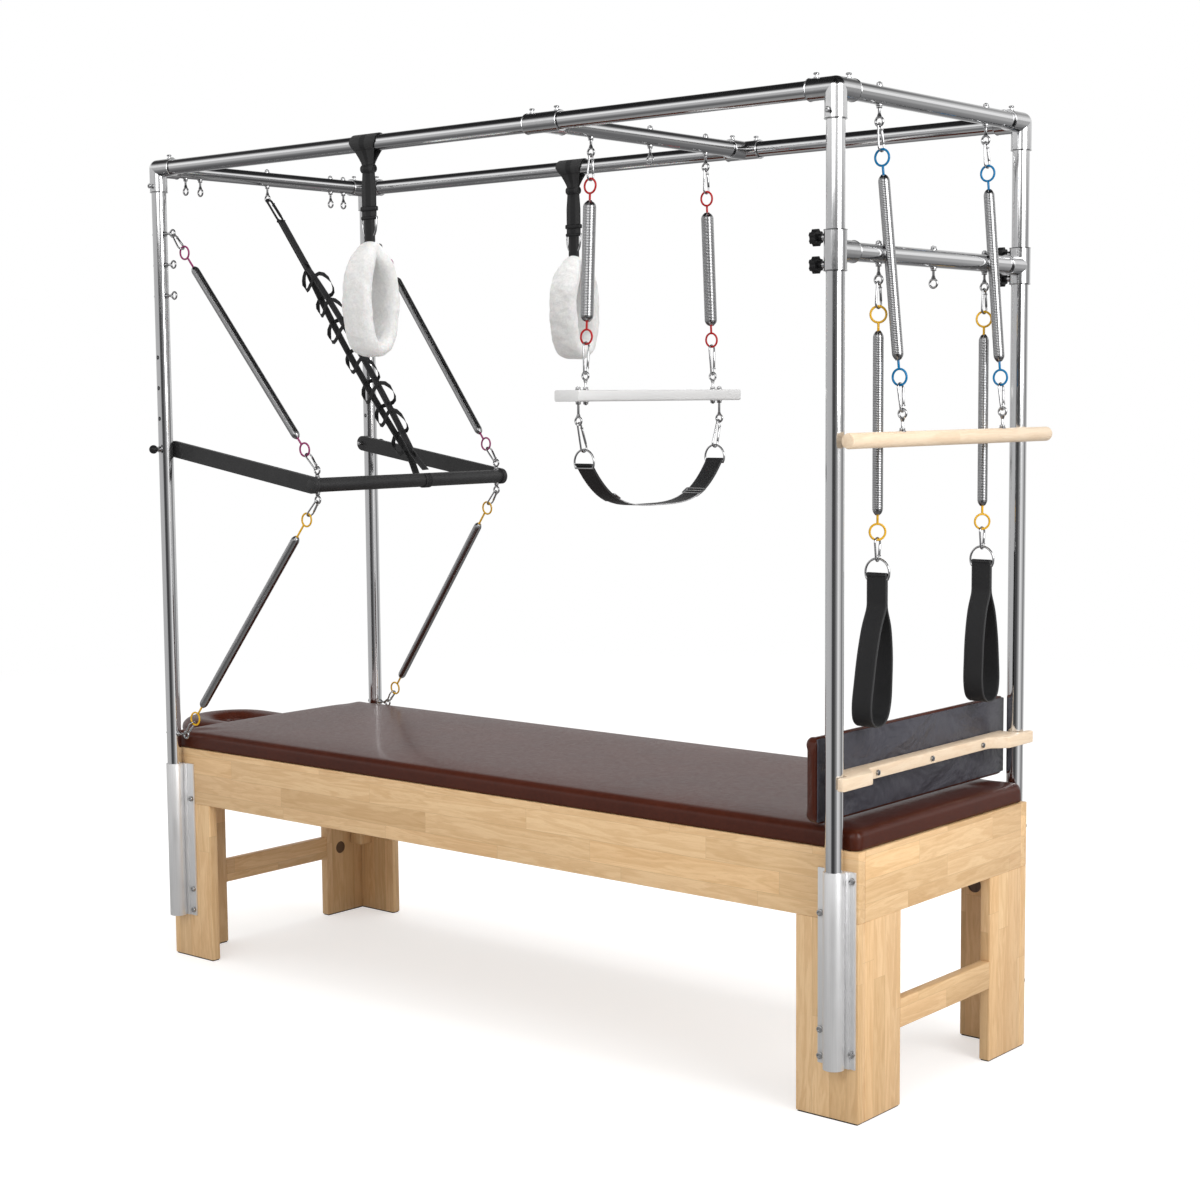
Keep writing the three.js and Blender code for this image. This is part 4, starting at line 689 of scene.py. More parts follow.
socket_metal = steel(
    "satin_aluminium", (0.8, 0.8, 0.805), 0.34, (500.0, 500.0, 5.0), 0.06, 0.12, 0.65)
bar_silver = steel(
    "silver_aluminium", (0.8, 0.8, 0.8), 0.42, (500.0, 6.0, 500.0), 0.05, 0.05, 0.4)
black_paint = coated("black_paint", (0.029, 0.029, 0.03), 0.42, 1100.0, 0.12)
black_plastic = coated("black_plastic", (0.012, 0.012, 0.013), 0.4, 700.0, 0.15)
dark_rubber = coated("dark_rubber", (0.02, 0.02, 0.021), 0.8, 500.0, 0.3)
hub_grey = coated("hub_grey", (0.35, 0.35, 0.36), 0.35, 500.0, 0.1)
COATINGS = {
    name: coated(name + "_coating", color, roughness, 300.0, 0.04, 0.05)
    for name, color, roughness in (
        ("purple", (0.27, 0.03, 0.13), 0.3), ("yellow", (0.7, 0.39, 0.012), 0.3),
        ("red", (0.44, 0.008, 0.01), 0.3), ("blue", (0.001, 0.16, 0.37), 0.26))}
wide_webbing = webbing_material(
    "black_webbing_50", (0.016, 0.016, 0.0175), (0.05, 0.05, 0.052), 0.05)
narrow_webbing = webbing_material(
    "black_webbing_25", (0.014, 0.014, 0.015), (0.03, 0.03, 0.031), 0.025)
fleece = fleece_material()
piping = coated("pale_piping", (0.42, 0.42, 0.43), 0.4, 600.0, 0.08)


# Fastenings.
def dome_bolt(place, way, shaft=0.006, head=0.0062):
    """A short bolt with a washer and a domed head, standing on a surface."""
    way = Vector(way).normalized()
    parts = [
        round_bar(place - way * 0.001, place + way * 0.0014, head * 0.94, 20, 0.0004),
        round_bar(place, place + way * shaft, 0.0031, 16),
        round_bar(place + way * shaft, place + way * (shaft + 0.0042), head, 20, 0.0018)]
    hollow(parts[2], lambda face: face.normal.dot(way) > 0.99, 0.0016, 0.0016)
    return dressed(joined("dome_bolt", parts), bright_steel)


def eye_bolt(reach, half, tail=True):
    """An eye bolt through a tube or bar whose middle is the origin, with its eye below."""
    eye = Z_WAY * -reach
    parts = [ring(eye, Y_WAY, 0.009, 0.0025, 32, 10)]
    bpy.ops.mesh.primitive_cone_add(
        vertices=16, radius1=0.0052, radius2=0.0031, depth=0.006, location=eye + Z_WAY * 0.0135)
    parts.append(settle(bpy.context.object, "eye_neck"))
    end = half + 0.0085 if tail else 0.0
    parts.append(round_bar(eye + Z_WAY * 0.0105, Z_WAY * end, 0.003, 14, 0.0006))
    for sign in (-1, 1) if tail else (-1,):
        low, high = (Z_WAY * z for z in sorted((sign * (half - 0.001), sign * (half + 0.0014))))
        parts.append(round_bar(low, high, 0.0074, 20))
        low, high = (Z_WAY * z for z in sorted((sign * (half + 0.0014), sign * (half + 0.0066))))
        parts.append(ease_edges(round_bar(low, high, 0.0062, 6, name="nut"), 0.0005, 1))
    return dressed(joined("eye_bolt", parts), bright_steel)


def placed_eye(template, middle, towards_eye):
    """The eye bolt set at a tube's middle, turned about Y so that its eye points the given way."""
    way = Vector(towards_eye)
    turn = Matrix.Rotation(math.atan2(-way.x, -way.z), 4, "Y")
    return copy_of(template, "eye_bolt", Matrix.Translation(middle) @ turn)


tube_eye = eye_bolt(0.052, 0.019)
push_eye = eye_bolt(0.037, 0.018, tail=False)
upper_bar_eye = eye_bolt(0.045, 0.013)
lower_bar_eye = eye_bolt(0.057, 0.013)
dowel_eye = eye_bolt(0.052, 0.016, tail=False)


# Bed.
def slab(a, b, material, edge=0.0016, name="board"):
    low = Vector([min(p, q) for p, q in zip(a, b)])
    high = Vector([max(p, q) for p, q in zip(a, b)])
    return dressed(block(low, high, edge, 3, name), material, 30)


def combined(piece, other, operation):
    """Joins the other piece to it or cuts it away, and uses it up."""
    use_modifier(piece, "BOOLEAN", operation=operation, object=other, solver="EXACT")
    discard(other)
    return piece


def bored(piece, place, way, radius, depth):
    """Cuts a round hole of that depth into the piece."""
    drill = round_bar(place - way * 0.004, place + way * depth, radius, 40, name="drill")
    return combined(piece, drill, "DIFFERENCE")


LEG_SIDE_WIDTH = 155.0
LEG_END_WIDTH = 162.0
FOOT_PAD = 3.0


def make_leg(sx, sy, name):
    inner_x, inner_y = BED_END - BOARD, BED_SIDE - BOARD
    side_start, end_start = BED_END - LEG_SIDE_WIDTH, BED_SIDE - LEG_END_WIDTH
    side_board = slab(spot(sx * side_start, sy * inner_y, FOOT_PAD),
                      spot(sx * BED_END, sy * BED_SIDE, RAIL_LOW), leg_wood)
    end_board = slab(spot(sx * inner_x, sy * end_start, FOOT_PAD),
                     spot(sx * BED_END, sy * inner_y, RAIL_LOW), leg_wood)
    painted_shade_cups = []
    for board, place, way in ((end_board, spot(sx * inner_x, sy * 240, 194), X_WAY * sx),
                              (side_board, spot(sx * 980, sy * inner_y, 363), Y_WAY * sy)):
        bored(board, place, way, 0.0175, 0.019)
        # A thin dark wood cup inside each hole is painted shade for the hole's depth.
        cup = tube(place + way * 0.001, place + way * 0.0188, 0.0174, 0.0006, 0.0172, 40, "painted_shade_cup")
        painted_shade_cups.append(cover(cup, painted_shade_wood))
    post = slab(spot(sx * (inner_x - 45), sy * (inner_y - 45), 200),
                spot(sx * inner_x, sy * inner_y, 551.7), leg_wood, 0.003)
    pads = [
        slab(spot(sx * (side_start + 3), sy * (inner_y + 2), 0),
             spot(sx * (BED_END - 3), sy * (BED_SIDE - 2), FOOT_PAD), dark_rubber, 0.0006),
        slab(spot(sx * (inner_x + 2), sy * (end_start + 3), 0),
             spot(sx * (BED_END - 3), sy * inner_y, FOOT_PAD), dark_rubber, 0.0006)]
    return joined(name, [side_board, end_board, post, *painted_shade_cups, *pads])


for side, sy in SIDES:
    board = slab(
        spot(-BED_END, sy * (BED_SIDE - BOARD), RAIL_LOW), spot(BED_END, sy * BED_SIDE, BED_TOP),
        rail_wood, 0.0016, side + "_side_board")
    finished(board, "frame", side + "_side_rail")
for end, sx in ENDS:
    inner = BED_SIDE - BOARD - 0.3
    board = slab(spot(sx * (BED_END - BOARD), -inner, RAIL_LOW), spot(sx * BED_END, inner, BED_TOP),
                 end_wood, 0.0009, end + "_end_board")
    if sx < 0:
        for _, sy in SIDES:
            bored(board, spot(-BED_END, sy * HEAD_ROD_Y, 529), X_WAY, 0.0088, 0.03)
    finished(board, "frame", end + "_end_rail")
    half = BED_SIDE - LEG_END_WIDTH
    cross_board = slab(spot(sx * (BED_END - BOARD), -half, 169), spot(sx * BED_END, half, 231),
                       end_wood, 0.0026, end + "_cross_board")
    finished(cross_board, "frame", end + "_stretcher")
    for side, sy in SIDES:
        leg = make_leg(sx, sy, side + "_" + end + "_boxed_leg")
        finished(leg, "frame", side + "_" + end + "_leg")

deck = slab(spot(-1074.7, -323.7, 552), spot(1074.7, 323.7, 570), ply_wood, 0.001, "deck_panel")
finished(deck, "frame", "deck_board")
bearer = slab(spot(-20, -323.7, 492), spot(20, 323.7, 551.7), end_wood, 0.003, "deck_batten")
finished(bearer, "frame", "deck_bearer")


# Padded pieces.
SWELL_FRAMES = 20


def padded_form(piece, voxel, held, swell):
    """Turns a closed shape into a soft pad: cloth under pressure, held where the test says."""
    only(piece)
    piece.data.remesh_voxel_size = voxel
    bpy.ops.object.voxel_remesh()
    rest = [vertex.co.copy() for vertex in piece.data.vertices]
    group = piece.vertex_groups.new(name="held")
    group.add([i for i, place in enumerate(rest) if held(place)], 1.0, "REPLACE")
    cloth = piece.modifiers.new("cloth", "CLOTH")
    cloth.settings.vertex_group_mass = "held"
    cloth.settings.use_pressure = True
    cloth.settings.uniform_pressure_force = 4.0
    cloth.settings.effector_weights.gravity = 0
    cloth.settings.quality = 4
    cloth.point_cache.frame_start = 1
    cloth.point_cache.frame_end = SWELL_FRAMES
    scene = bpy.context.scene
    for moment in range(1, SWELL_FRAMES + 1):
        scene.frame_set(moment)
    only(piece)
    bpy.ops.object.modifier_apply(modifier="cloth")
    scene.frame_set(1)
    for vertex, before in zip(piece.data.vertices, rest):
        moved = vertex.co - before
        if moved.length > swell:
            vertex.co = before + moved * (swell / moved.length)
    piece.vertex_groups.clear()
    use_modifier(piece, "SUBSURF", levels=1, render_levels=1)
    only(piece)
    bpy.ops.object.shade_smooth()
    return piece


def mat_form():
    """The mat: square below, rounded along its top edges, and slightly crowned."""
    piece = block(spot(-1098, -347, 570), spot(1098, 347, 615), name="mat")
    round_edges(piece, runs_along(2), 0.02, 5)
    return round_edges(piece, lies_at(2, spot(0, 0, 615).z), 0.017, 5)


mat = padded_form(mat_form(), 0.0125, lambda place: place.z < 0.5745, 0.0035)
cover(mat, brown_leather)
mat.name = "leather_mat"
finished(mat, "frame", "mat")


def head_board():
    """A horseshoe board with the two rods that plug into the bed."""
    low, high = 535.8, 547.5
    outer = block(spot(HEAD_BEND_X, -132, low), spot(-1112, 132, high), name="horseshoe")
    bend = round_bar(spot(HEAD_BEND_X, 0, low), spot(HEAD_BEND_X, 0, high), 0.132, 96)
    combined(outer, bend, "UNION")
    for cutter in (
            block(spot(HEAD_BEND_X, -70, low - 5), spot(-1100, 70, high + 5)),
            round_bar(spot(HEAD_BEND_X, 0, low - 5), spot(HEAD_BEND_X, 0, high + 5), 0.07, 72)):
        combined(outer, cutter, "DIFFERENCE")
    parts = [dressed(ease_edges(outer, 0.0018), ply_wood, 30)]
    for _, sy in SIDES:
        y = sy * HEAD_ROD_Y
        rod = round_bar(spot(-1285, y, 528), spot(-1050, y, 528), 0.008, 24, 0.001)
        parts.append(dressed(rod, tube_steel["x"]))
        for x in (-1270, -1150):
            clamp = block(spot(x - 9, y - 15, 518.5), spot(x + 9, y + 15, 536), 0.002)
            parts.append(dressed(clamp, bright_steel))
    return joined("horseshoe_board", parts)


finished(head_board(), "head_cradle", "head_cradle_board")


def head_cushion_form():
    """Half a ring, whose open ends are drawn out towards the mat."""
    bend = spot(HEAD_BEND_X, 0, 566)
    bpy.ops.mesh.primitive_torus_add(
        major_radius=0.101, minor_radius=0.045, major_segments=64, minor_segments=24, location=bend)
    piece = settle(bpy.context.object, "head_cushion")
    only(piece)
    bpy.ops.object.mode_set(mode="EDIT")
    bpy.ops.mesh.select_all(action="SELECT")
    bpy.ops.mesh.bisect(plane_co=bend, plane_no=(1, 0, 0), clear_outer=True, use_fill=False)
    close_edit(piece)
    pick(piece, "EDGE", lambda edge: edge.is_boundary)
    for _ in range(6):
        bpy.ops.mesh.extrude_region_move(TRANSFORM_OT_translate={"value": (0.0222, 0, 0)})
    bpy.ops.mesh.fill_holes(sides=0)
    close_edit(piece)
    low, high = 0.5478, 0.5965
    for vertex in piece.data.vertices:
        share = max(-1.0, min(1.0, (vertex.co.z - bend.z) / 0.045))
        squared = math.copysign(abs(share) ** 0.75, share)
        rise = squared * 0.62 + 0.38 if share > 0 else 0.38 * (1 + squared)
        vertex.co.z = low + (high - low) * rise
    return outward(piece)


cushion = padded_form(head_cushion_form(), 0.006, lambda place: place.z < 0.5495, 0.004)
cover(cushion, brown_leather)
cushion.name = "face_cushion"
finished(cushion, "head_cradle", "head_cradle_cushion")


# Canopy.
def make_socket(name):
    """The near right socket: an extruded barrel with two screwed wings."""
    foot, rim = spot(UPRIGHT_X, -UPRIGHT_Y, 118), spot(UPRIGHT_X, -UPRIGHT_Y, 530)
    barrel = round_bar(foot, rim, SLEEVE_RADIUS, 48, 0.0006)
    hollow(barrel, lambda face: face.normal.z > 0.99, 0.003, 0.02)
    side = -BED_SIDE
    plates = [
        block(spot(1003, side - 5, 118), spot(1095, side, 530), 0.0008),
        block(spot(1026.5, side - 9, 118.3), spot(1040, side - 4, 529.7), 0.0012),
        block(spot(1070, side - 9, 118.3), spot(1083.5, side - 4, 529.7), 0.0012),
        block(spot(1089.5, side - 6.2, 118.3), spot(1095, side - 4, 529.7), 0.0008)]
    screws = []
    for x, z in ((1088, 512), (1088, 150), (1011, 436), (1011, 190), (1011, 134)):
        head = dome_bolt(spot(x, side - 5, z), (0, -1, 0), 0.0022, 0.0075)
        screws.append(head)
    for part in (barrel, *plates):
        dressed(part, socket_metal, 30)
    return joined(name, [barrel, *plates, *screws])


on_four_corners(make_socket("near_right_post_socket"), "post_socket", "socket")


def steel_tube(start, end, axis, name="tube"):
    piece = tube(start, end, TUBE_RADIUS, sides=TUBE_SIDES, name=name)
    return dressed(piece, tube_steel[axis], 30)


for end, sx in ENDS:
    for side, sy in SIDES:
        x, y = sx * UPRIGHT_X, sy * UPRIGHT_Y
        post = tube(spot(x, y, 128.5), spot(x, y, 2075), TUBE_RADIUS, sides=TUBE_SIDES)
        parts = [post]
        if sx < 0:
            for z in (PUSH_PIVOT_Z, *SPARE_HOLE_HEIGHTS):
                bored(post, spot(x, sy * (UPRIGHT_Y + 19), z), Y_WAY * -sy, 0.0055, 0.04)
            parts += [placed_eye(tube_eye, spot(x, y, z), X_WAY) for z in UPRIGHT_EYE_HEIGHTS]
        dressed(post, tube_steel["z"], 30)
        post = joined(side + "_" + end + "_post", parts)
        finished(post, "frame", side + "_" + end + "_upright")


def sleeve(start, end, radius=SLEEVE_RADIUS):
    """A short sleeve on a tube, with a rolled rim at its end."""
    way = (end - start).normalized()
    parts = [tube(start, end, radius, 0.0028, 0.004, 56),
             ring(end - way * 0.0014, way, radius - 0.0004, 0.0013, 56, 8)]
    return dressed(joined("sleeve", parts), fitting_steel, 30)


def make_corner(name):
    """The near right corner: three sleeves that meet in a rounded elbow, with set screws."""
    corner = spot(UPRIGHT_X, -UPRIGHT_Y, CANOPY_Z)
    parts = [dressed(ball(corner, SLEEVE_RADIUS, 48), fitting_steel)]
    for way, out in ((-X_WAY, Z_WAY), (Y_WAY, Z_WAY), (-Z_WAY, -Y_WAY)):
        parts.append(sleeve(corner, corner + way * 0.062))
        parts.append(dome_bolt(corner + way * 0.046 + out * SLEEVE_RADIUS, out))
    return joined(name, parts)


on_four_corners(make_corner("near_right_elbow"), "elbow", "corner_fitting")

for side, sy in SIDES:
    y = sy * UPRIGHT_Y
    long_tube = steel_tube(
        spot(-1031, y, CANOPY_Z), spot(1031, y, CANOPY_Z), "x", side + "_top_tube")
    finished(long_tube, "frame", side + "_long_tube")


def cross_piece(x, half, z, eyes):
    """A tube across the table, and the eye bolts that hang from it."""
    bar = steel_tube(spot(x, -half, z), spot(x, half, z), "y")
    return [bar, *(placed_eye(tube_eye, spot(x, y, z), -Z_WAY) for y in eyes)]


for end, sx, eyes in (("left", -1, (-283, -234, 0, 234, 283)), ("right", 1, (-HANG_Y, HANG_Y))):
    piece = joined(end + "_top_tube", cross_piece(sx * UPRIGHT_X, 348, CANOPY_Z, eyes))
    finished(piece, "frame", end + "_end_tube")

parts = cross_piece(CROSS_X, 352.5, CANOPY_Z, (-HANG_Y, 0, HANG_Y))
for _, sy in SIDES:
    middle = spot(CROSS_X, sy * UPRIGHT_Y, CANOPY_Z)
    inward, top = Y_WAY * -sy, Z_WAY * SLEEVE_RADIUS
    parts += [sleeve(middle, middle + way * 0.05) for way in (-X_WAY, X_WAY)]
    parts.append(sleeve(middle, middle + inward * 0.062))
    parts += [dome_bolt(middle + X_WAY * dx + top, Z_WAY) for dx in (-0.036, 0.036)]
    parts.append(dome_bolt(middle + inward * 0.049 + top, Z_WAY))
finished(joined("middle_cross_tube", parts), "frame", "cross_tube")

parts = cross_piece(UPRIGHT_X, 351, SLIDE_BAR_Z, (-HANG_Y, 0, HANG_Y))
for _, sy in SIDES:
    y = sy * UPRIGHT_Y
    low, high = (spot(UPRIGHT_X, y, SLIDE_BAR_Z + z) for z in (-40, 40))
    parts.append(dressed(tube(low, high, 0.0231, 0.0032, 0.004, TUBE_SIDES), fitting_steel, 30))
    parts += [dressed(ring(place, Z_WAY, 0.0228, 0.0012, TUBE_SIDES, 8), fitting_steel)
              for place in (low, high)]
    middle = spot(UPRIGHT_X, y, SLIDE_BAR_Z)
    parts.append(sleeve(middle, middle - Y_WAY * sy * 0.064, 0.0221))
    for _, z in KNOB_HEIGHTS:
        boss = round_bar(
            spot(UPRIGHT_X - 29.5, y, z), spot(UPRIGHT_X - 20, y, z), 0.0075, 24, 0.0008)
        parts.append(dressed(boss, fitting_steel))
finished(joined("slide_bar_with_clamps", parts), "sliding_bar", "slide_bar")


# Star knobs: six lobes cut into a disc, a light hub and a screw.
def make_knob():
    """A star knob on the origin, turned towards -X, with its screw towards +X."""
    def along_x(start, end, *shape):
        return round_bar(X_WAY * start, X_WAY * end, *shape)
    head = along_x(-0.007, 0.007, 0.0172, 72)
    for k in range(6):
        angle = math.pi / 6 + k * math.pi / 3
        way = Vector((0, math.cos(angle), math.sin(angle))) * 0.0212
        combined(head, round_bar(way - X_WAY * 0.02, way + X_WAY * 0.02, 0.0072, 32), "DIFFERENCE")
    return joined("star_knob", [
        dressed(ease_edges(head, 0.0016, 3, 50), black_plastic, 50),
        dressed(along_x(-0.0105, -0.0065, 0.008, 32, 0.0012), hub_grey),
        dressed(along_x(0.006, 0.016, 0.0072, 32, 0.0008), black_plastic),
        dressed(along_x(0.015, 0.0267, 0.0039, 20), bright_steel)])


knob = make_knob()
for side, sy in SIDES:
    for height, z in KNOB_HEIGHTS:
        name = side + "_" + height
        turned = Matrix.Translation(spot(1009, sy * UPRIGHT_Y, z)) @ Matrix.Rotation(
            0.35 * z, 4, "X")
        piece = copy_of(knob, name + "_knob_piece", turned)
        finished(piece, name + "_knob", name + "_star_knob")


# The push-through bar: a bent tube frame with two flat arms, in black paint.
def push_arm(sy):
    """A flat arm with round ends, from the pivot to the tube."""
    pivot = spot(PUSH_PIVOT_X, sy * 344, PUSH_PIVOT_Z)
    corner = spot(PUSH_CORNER_X, sy * 344, PUSH_CORNER_Z)
    run = (corner - pivot).normalized()
    across = run.cross(Y_WAY).normalized()
    half_width, half_y = 0.021, Y_WAY * 0.006
    arm, tip = (round_bar(place - half_y, place + half_y, half_width, 40, name="push_arm")
                for place in (pivot, corner))
    plank = block(-half_y - Z_WAY * half_width,
                  X_WAY * (corner - pivot).length + half_y + Z_WAY * half_width)
    plank.data.transform(
        Matrix.Translation(pivot) @ Matrix((run, Y_WAY, -across)).transposed().to_4x4())
    outward(plank)
    for other in (tip, plank):
        combined(arm, other, "UNION")
    bored(arm, pivot - half_y * 1.6, Y_WAY, 0.0054, 0.03)
    return dressed(ease_edges(arm, 0.0016, 3, 50), black_paint, 50)


parts = [push_arm(sy) for _, sy in SIDES]
cross = round_bar(
    spot(PUSH_CORNER_X, -352, PUSH_CORNER_Z), spot(PUSH_CORNER_X, 352, PUSH_CORNER_Z),
    0.018, TUBE_SIDES, 0.006, "push_tube")
parts.append(dressed(ease_edges(cross, 0.001, 1), black_paint))
for _, sy in SIDES:
    middle = spot(PUSH_CORNER_X, sy * PUSH_EYE_Y, PUSH_CORNER_Z)
    parts += [placed_eye(push_eye, middle, way) for way in (Z_WAY, -Z_WAY)]
finished(joined("push_bar_frame", parts), "push_bar", "push_through_bar")

for side, sy in SIDES:
    def pin_place(y):
        return spot(PUSH_PIVOT_X, sy * y, PUSH_PIVOT_Z)
    shaft = dressed(round_bar(pin_place(322), pin_place(404), 0.0048, 28, 0.0012), bright_steel)
    collar = dressed(round_bar(pin_place(391.4), pin_place(397), 0.008, 32, 0.0008), bright_steel)
    knob_ball = dressed(ball(pin_place(413), 0.0114, 32), black_plastic)
    groove = dressed(ring(pin_place(327), Y_WAY, 0.0045, 0.0005, 28, 8), bright_steel)
    pin = joined(side + "_pin", [shaft, collar, knob_ball, groove])
    finished(pin, side + "_pin", side + "_pivot_pin")


# Springs with their coated ends, rings and snap hooks.
def snap_hook(start, end, across, wire=0.0022, narrow=0.0058, wide=0.0098):
    """A bent-wire snap hook between two places, with its gate on one side."""
    way = (end - start).normalized()
    side = (across - way * across.dot(way)).normalized()
    low, high = end - way * wide, start + way * narrow
    points = arc(low, side * wide, way * wide, 8) + arc(high, side * -narrow, way * -narrow, 8)
    body = bent_rod(points, wire, True, 3)
    gate_low, gate_high = low + side * wide, high + side * narrow
    gate = round_bar(
        gate_low.lerp(gate_high, 0.12), gate_low.lerp(gate_high, 0.8), wire * 1.3, 14, 0.0006)
    pin = gate_high.lerp(gate_low, 0.16)
    out = way.cross(side) * wire * 1.7
    pivot = round_bar(pin - out, pin + out, wire * 0.7, 12)
    return dressed(joined("snap_hook", [body, gate, pivot]), bright_steel)


COIL_WIRE, COIL_PITCH = 0.00165, 0.0035
COIL_DRAW_IN = 0.014
RING_RADIUS, RING_WIRE = 0.0165, 0.0024


def make_coil(length, radius, name):
    """A close-wound coil along Z from the origin, drawn in at both ends."""
    turns = round(length / COIL_PITCH)
    bpy.ops.mesh.primitive_circle_add(
        vertices=8, radius=COIL_WIRE, location=(radius, 0, 0), rotation=(math.pi / 2, 0, 0))
    coil = settle(bpy.context.object, name)
    use_modifier(coil, "SCREW", axis="Z", angle=2 * math.pi, screw_offset=length / turns,
                 iterations=turns, steps=18, render_steps=18)
    cap_ends(coil)
    for vertex in coil.data.vertices:
        place = vertex.co
        share = min(1.0, max(0.0, min(place.z, length - place.z)) / COIL_DRAW_IN)
        reach = math.hypot(place.x, place.y)
        flat = radius + COIL_WIRE * 0.9 + (reach - radius) * 0.1
        kept = flat - radius * 0.62 * (1 - share) ** 2.2
        place.x, place.y = place.x * kept / reach, place.y * kept / reach
    return dressed(outward(coil), spring_steel, 60)


def spring_chain(name, coating, start, end, marks, coil_radius, node, ring_way=Y_WAY):
    """Hook, coated ring, coil, coated ring and hook on the line from one eye to another.
    The marks are heights on the line, in millimetres: a ring, the coil's ends and a ring."""
    run = end - start
    way = run.normalized()

    def along(distance):
        return start + way * distance

    top_ring, coil_top, coil_low, low_ring = (
        (mark / 1000 - start.z) / run.z * run.length for mark in marks)
    coil = make_coil(coil_low - coil_top, coil_radius, name + "_coil")
    turn = Z_WAY.rotation_difference(way).to_matrix().to_4x4()
    coil.data.transform(Matrix.Translation(along(coil_top)) @ turn)
    parts = [
        snap_hook(along(0.0037), along(top_ring - 0.0123), Y_WAY),
        snap_hook(along(run.length - 0.0037), along(low_ring + 0.0123), Y_WAY), coil]
    facing = (ring_way - way * way.dot(ring_way)).normalized()
    for place, coil_end, sign in ((top_ring, coil_top, 1), (low_ring, coil_low, -1)):
        link = ring(along(place), facing, RING_RADIUS, RING_WIRE)
        neck = round_bar(
            along(place + sign * RING_RADIUS), along(coil_end + sign * 0.009), 0.0026, 16, 0.0006)
        plug = round_bar(
            along(coil_end - sign * 0.001), along(coil_end + sign * 0.006), 0.0046, 20, 0.0012)
        parts += [dressed(part, COATINGS[coating]) for part in (link, neck, plug)]
    chain = joined(name, parts)
    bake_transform(chain)
    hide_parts(node)


for side, sy in SIDES:
    hang_y = sy * HANG_Y
    post_x, post_y = 52 - UPRIGHT_X, sy * UPRIGHT_Y
    spring_chain(
        side + "_upper_push_chain", "purple", spot(post_x, post_y, 1930),
        spot(PUSH_CORNER_X, sy * PUSH_EYE_Y, 1321), (1878, 1839, 1401, 1372), 0.0094,
        side + "_upper_push_spring")
    spring_chain(
        side + "_lower_push_chain", "yellow", spot(post_x, post_y, 612),
        spot(PUSH_CORNER_X, sy * PUSH_EYE_Y, 1247), (658, 692, 1152, 1196), 0.0094,
        side + "_lower_push_spring")
    spring_chain(
        side + "_trapeze_chain", "red", spot(CROSS_X, hang_y, 2047),
        spot(CROSS_X, sy * TRAPEZE_EYE_Y, 1545), (1972, 1938, 1668, 1633), 0.0134,
        side + "_trapeze_spring")
    spring_chain(
        side + "_roll_down_chain", "blue", spot(UPRIGHT_X, hang_y, 2047),
        spot(ROLL_X, sy * ROLL_Y, 1458), (1975, 1940, 1567, 1532), 0.0103,
        side + "_roll_down_spring")
    spring_chain(
        side + "_handle_chain_piece", "yellow", spot(UPRIGHT_X, hang_y, 1730),
        spot(UPRIGHT_X, hang_y, 1151), (1660, 1626, 1250, 1215), 0.0094,
        side + "_handle_spring", X_WAY - Y_WAY)


# Trapeze, sling and roll-down bar.
def d_ring(top):
    """A D-ring that hangs from its top by its round side, with its straight side below."""
    radius = 0.029
    points = arc(top - Z_WAY * radius, X_WAY * radius, Z_WAY * radius, 18,
                 math.radians(-28), math.radians(236))
    return dressed(bent_rod(points, RING_WIRE, True, 4), bright_steel)


def hung(eye, name, x, y, z, flipped=False):
    """A copy of an eye at a place on a bar, turned over for the bar's other side."""
    turned = Matrix.Rotation(math.pi, 4, "X") if flipped else Matrix.Identity(4)
    return copy_of(eye, name, Matrix.Translation(spot(x, y, z)) @ turned)


bar_block = block(
    spot(CROSS_X - 36, -307, TRAPEZE_Z - 13), spot(CROSS_X + 36, 307, TRAPEZE_Z + 13),
    name="trapeze_bar_block")
round_edges(bar_block, runs_along(1, 0.1), 0.0045, 4)
parts = [dressed(ease_edges(bar_block, 0.001, 2), bar_silver, 35)]
for _, sy in SIDES:
    parts.append(hung(upper_bar_eye, "bar_eye", CROSS_X, sy * TRAPEZE_EYE_Y, TRAPEZE_Z, True))
    parts.append(hung(lower_bar_eye, "bar_eye", CROSS_X, sy * SLING_EYE_Y, TRAPEZE_Z))
finished(joined("trapeze_crossbar", parts), "trapeze", "trapeze_bar")


def sling_place(share, lift=0.0, aside=0.0):
    """A place on the sling at a share of its half span."""
    height = 1345 - 102 * (1 - abs(share) ** 3.4)
    return spot(CROSS_X + aside, SLING_RING_Y * share, height + lift)


def tri_glide(middle, along_way, across, half_width):
    """A flat wire buckle on a band: a frame with one bar through its middle."""
    along_way = along_way.normalized()
    corners = [(-1, -1), (-1, 1), (1, 1), (1, -1)]
    points = []
    for (a, b), (c, d) in zip(corners, corners[1:] + corners[:1]):
        points += [middle + along_way * 0.011 * (a + (c - a) * share)
                   + across * half_width * (b + (d - b) * share) for share in (0.06, 0.5, 0.94)]
    half_bar = across * half_width
    bar_wire = round_bar(middle - half_bar, middle + half_bar, 0.0017, 12)
    wires = [bent_rod(points, 0.002, True, 3), bar_wire]
    return dressed(joined("tri_glide", wires), bright_steel)


